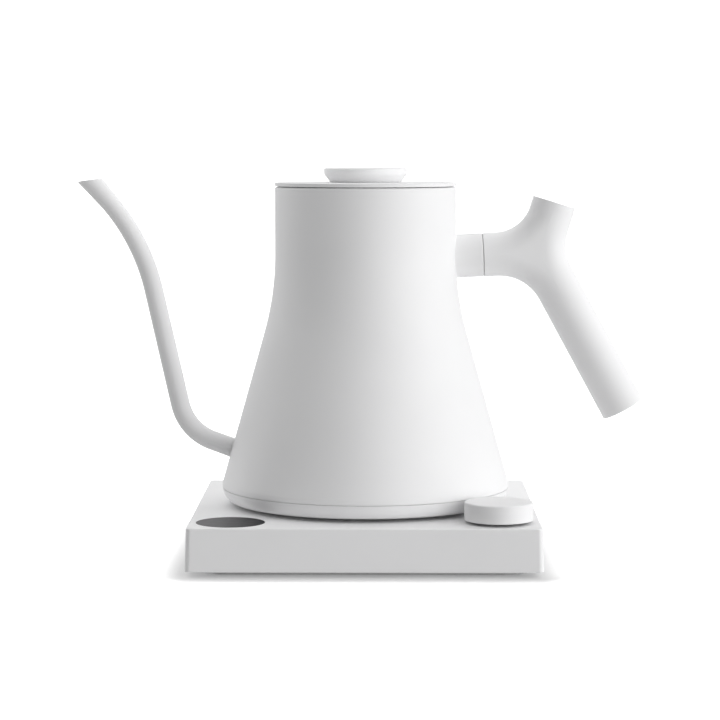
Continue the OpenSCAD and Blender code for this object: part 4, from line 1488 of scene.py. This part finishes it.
    def build_foot(self) -> None:
        """Makes the rubber frame under the base, with a rounded tread and a shallow groove in it."""
        low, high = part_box("base_foot_ring")
        half, edge = high.x, self.foot_edge
        inner, middle = half - self.foot_strip, half - self.foot_strip / 2
        turns = [math.radians(a) for a in (30, 60, 90)]
        tread = [(math.cos(a), low.z + edge * (1 - math.sin(a))) for a in turns]
        stations = [(half, high.z), (half, low.z + edge)]
        stations += [(half - edge * (1 - c), z) for c, z in tread]
        stations += [(middle + self.groove_half, low.z)]
        stations += [(middle + side * self.groove_floor_half, low.z + self.groove_depth) for side in (1, -1)]
        stations += [(middle - self.groove_half, low.z)]
        stations += [(inner + edge * (1 - c), z) for c, z in tread[::-1]]
        stations += [(inner, low.z + edge), (inner, high.z)]
        corner = self.foot_strip + 1 * MM
        rings = [square_ring(w, max(corner - (half - w), 0.6 * MM), z) for w, z in stations]
        mesh = bmesh.new()
        add_rings(mesh, rings, True)
        foot = make_piece("base_foot_frame", mesh, [self.book.get("foot_rubber")])
        settle(foot, "base", ["base_foot_ring"])


def dress_frame_nodes(frame: dict, book: FinishBook) -> None:
    """Gives every frame node that still shows the finish of its slot.

    Args:
        book: the finishes.
    """
    slots = {part["node"]: part["material_slot"] for part in frame["record"]["subparts"]}
    for name, node in sorted(frame["nodes"].items()):
        if node.hide_render:
            continue
        finish = NODE_FINISH.get(name, SLOT_FINISH[slots[name]])
        node.data.materials.clear()
        node.data.materials.append(book.get(finish))
        log.info("%s: frame node in %s", name, finish)


# ---------------------------------------------------------------------------
# The studio
# ---------------------------------------------------------------------------


@dataclass
class SoftBox:
    """A rectangular studio light that points at the middle of the kettle."""

    name: str
    at: tuple[float, float, float]
    size: tuple[float, float]
    power: float
    aim: tuple[float, float, float] = (0.0, 0.0, 0.1)

    def build(self) -> None:
        """Makes the light."""
        data = bpy.data.lights.new(self.name, "AREA")
        data.shape = "RECTANGLE"
        data.size, data.size_y = self.size
        data.energy = self.power
        lamp = bpy.data.objects.new(self.name, data)
        lamp.location = self.at
        lamp.rotation_euler = (Vector(self.aim) - Vector(self.at)).to_track_quat("-Z", "Y").to_euler()
        lamp.visible_camera = False
        bpy.context.scene.collection.objects.link(lamp)


@dataclass
class Studio:
    """White studio: a pale floor, soft lights and the camera."""

    camera_at: tuple[float, float, float] = (0.0091, -1.2416, 0.2069)
    camera_pitch: float = 5.03
    camera_yaw: float = 0.55
    lens: float = 122.05
    floor_size: float = 30.0
    backdrop: float = 1.15
    fill: float = 0.78
    dark_fill: float = 0.0
    dark_bearing: float = -32.0
    dark_edge: tuple[float, float] = (0.45, 0.95)
    overhead: float = -0.1
    overhead_edge: tuple[float, float] = (0.1, 0.8)
    # Floor emission close round the base and away from it, and how far out it rises: the low value close by
    # paints the base's shadow.
    painted_shadow_to_glow: tuple[float, float] = (0.0, 1.2)
    painted_shadow_reach: float = 0.03
    box_reach: float = 1.7
    box_size: tuple[float, float] = (1.2, 1.2)
    box_height: float = 0.1

    def build(self) -> None:
        """Makes the camera, the floor, the surroundings and the lights."""
        self.build_camera()
        self.build_floor()
        self.build_world()
        for box in self.lights():
            box.build()
        bpy.context.scene.view_settings.view_transform = "Standard"

    def lights(self) -> tuple[SoftBox, ...]:
        """The soft boxes: the key from the right, one from the front and weaker ones behind."""
        return (
            SoftBox("key_right", self.round_the_kettle(65, 12), self.box_size, 7.3),
            SoftBox("front_low", self.round_the_kettle(28, 12), self.box_size, 5.8),
            SoftBox("rim_right", self.round_the_kettle(130, 50), self.box_size, 3.0),
            SoftBox("rim_left", self.round_the_kettle(-150, 50), self.box_size, 4.0),
            SoftBox("fill_left", self.round_the_kettle(-110, 12), self.box_size, 4.6),
        )

    def round_the_kettle(self, bearing: float, height: float) -> tuple[float, float, float]:
        """Gives the place of a soft box.

        Args:
            bearing: degrees round from the front, anticlockwise seen from above.
            height: degrees above the middle of the kettle.

        Returns:
            The place, in metres.
        """
        turn, tilt = math.radians(bearing), math.radians(height)
        flat = self.box_reach * math.cos(tilt)
        up = self.box_reach * math.sin(tilt) + self.box_height
        return (flat * math.sin(turn), -flat * math.cos(turn), up)

    def build_camera(self) -> None:
        """Makes the camera at the kettle's front, a little above it."""
        data = bpy.data.cameras.new("camera")
        data.sensor_width = 36
        data.lens = self.lens
        camera = bpy.data.objects.new("camera", data)
        camera.location = self.camera_at
        camera.rotation_euler = (math.radians(90 - self.camera_pitch), 0, math.radians(self.camera_yaw))
        bpy.context.scene.collection.objects.link(camera)
        bpy.context.scene.camera = camera

    def build_floor(self) -> None:
        """Makes the pale floor, which glows white except close round the base, where its emission fades out
        as a painted shadow of the base.
        """
        mesh = bmesh.new()
        bmesh.ops.create_grid(mesh, x_segments=12, y_segments=12, size=self.floor_size / 2)
        data = bpy.data.meshes.new("floor")
        mesh.to_mesh(data)
        mesh.free()
        floor = bpy.data.objects.new("floor", data)
        bpy.context.scene.collection.objects.link(floor)
        graph = Graph("floor_paper")
        graph.shade((0.9, 0.9, 0.9), graph.noise(0.5, 2), 0.005)
        graph.constant("Roughness", 0.9)
        graph.constant("Specular IOR Level", 0.0)
        graph.shader.inputs["Emission Color"].default_value = (1, 1, 1, 1)
        # Painted shadow: the floor's emission is nought within the base's box and rises to full a short way
        # outside it.
        split = graph.nodes.new("ShaderNodeSeparateXYZ")
        graph.links.new(graph.place, split.inputs[0])
        past = []
        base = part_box("base_shell")[1]
        for axis, half_side in (("X", base.x), ("Y", base.y)):
            size = graph.reckon("ABSOLUTE", split.outputs[axis])
            past.append(graph.reckon("MAXIMUM", graph.reckon("SUBTRACT", size, half_side), 0.0))
        painted_shadow_fade = graph.nodes.new("ShaderNodeMapRange")
        painted_shadow_fade.interpolation_type = "SMOOTHSTEP"
        painted_shadow_fade.inputs["From Min"].default_value, painted_shadow_fade.inputs["From Max"].default_value = 0, self.painted_shadow_reach
        painted_shadow_fade.inputs["To Min"].default_value, painted_shadow_fade.inputs["To Max"].default_value = self.painted_shadow_to_glow
        graph.links.new(graph.reckon("ADD", *past), painted_shadow_fade.inputs["Value"])
        graph.links.new(painted_shadow_fade.outputs["Result"], graph.shader.inputs["Emission Strength"])
        data.materials.append(graph.material)
        floor.visible_diffuse = False
        floor.visible_glossy = False

    def build_world(self) -> None:
        """Makes the surroundings: a white backdrop, and a light that is darker at the front left."""
        world = bpy.data.worlds.new("studio")
        world.use_nodes = True
        nodes, links = world.node_tree.nodes, world.node_tree.links
        seen, light = nodes["Background"], nodes.new("ShaderNodeBackground")
        seen.inputs["Color"].default_value = (1, 1, 1, 1)
        seen.inputs["Strength"].default_value = self.backdrop
        light.inputs["Color"].default_value = (1, 1, 1, 1)
        towards, side = nodes.new("ShaderNodeTexCoord"), nodes.new("ShaderNodeVectorMath")
        side.operation = "DOT_PRODUCT"
        bearing = math.radians(self.dark_bearing)
        side.inputs[1].default_value = (math.sin(bearing), -math.cos(bearing), 0)
        links.new(towards.outputs["Generated"], side.inputs[0])
        share = nodes.new("ShaderNodeMapRange")
        share.interpolation_type = "SMOOTHSTEP"
        share.inputs["From Min"].default_value, share.inputs["From Max"].default_value = self.dark_edge
        share.inputs["To Min"].default_value, share.inputs["To Max"].default_value = self.fill, self.dark_fill
        links.new(side.outputs["Value"], share.inputs["Value"])
        kinds = ("SeparateXYZ", "MapRange", "Math")
        split, above, total = (nodes.new(f"ShaderNode{kind}") for kind in kinds)
        links.new(towards.outputs["Generated"], split.inputs[0])
        above.interpolation_type = "SMOOTHSTEP"
        total.use_clamp = True
        above.inputs["From Min"].default_value, above.inputs["From Max"].default_value = self.overhead_edge
        above.inputs["To Min"].default_value, above.inputs["To Max"].default_value = 0.0, self.overhead
        links.new(split.outputs["Z"], above.inputs["Value"])
        links.new(share.outputs["Result"], total.inputs[0])
        links.new(above.outputs["Result"], total.inputs[1])
        links.new(total.outputs["Value"], light.inputs["Strength"])
        mix, path = nodes.new("ShaderNodeMixShader"), nodes.new("ShaderNodeLightPath")
        links.new(path.outputs["Is Camera Ray"], mix.inputs["Fac"])
        links.new(light.outputs["Background"], mix.inputs[1])
        links.new(seen.outputs["Background"], mix.inputs[2])
        links.new(mix.outputs["Shader"], nodes["World Output"].inputs["Surface"])
        bpy.context.scene.world = world


def main() -> None:
    """Builds the kettle around the frame, then the studio, and reports each piece."""
    logging.basicConfig(level=logging.INFO, format="%(name)s: %(message)s")
    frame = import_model()
    book = kettle_finishes()
    vessel = Vessel(book)
    vessel.build()
    BottomHousing(book, vessel).build()
    Lid(book).build()
    Spout(book, vessel).build()
    Handle(book, vessel).build()
    PowerBase(book).build()
    dress_frame_nodes(frame, book)
    Studio().build()


if __name__ == "__main__":
    main()
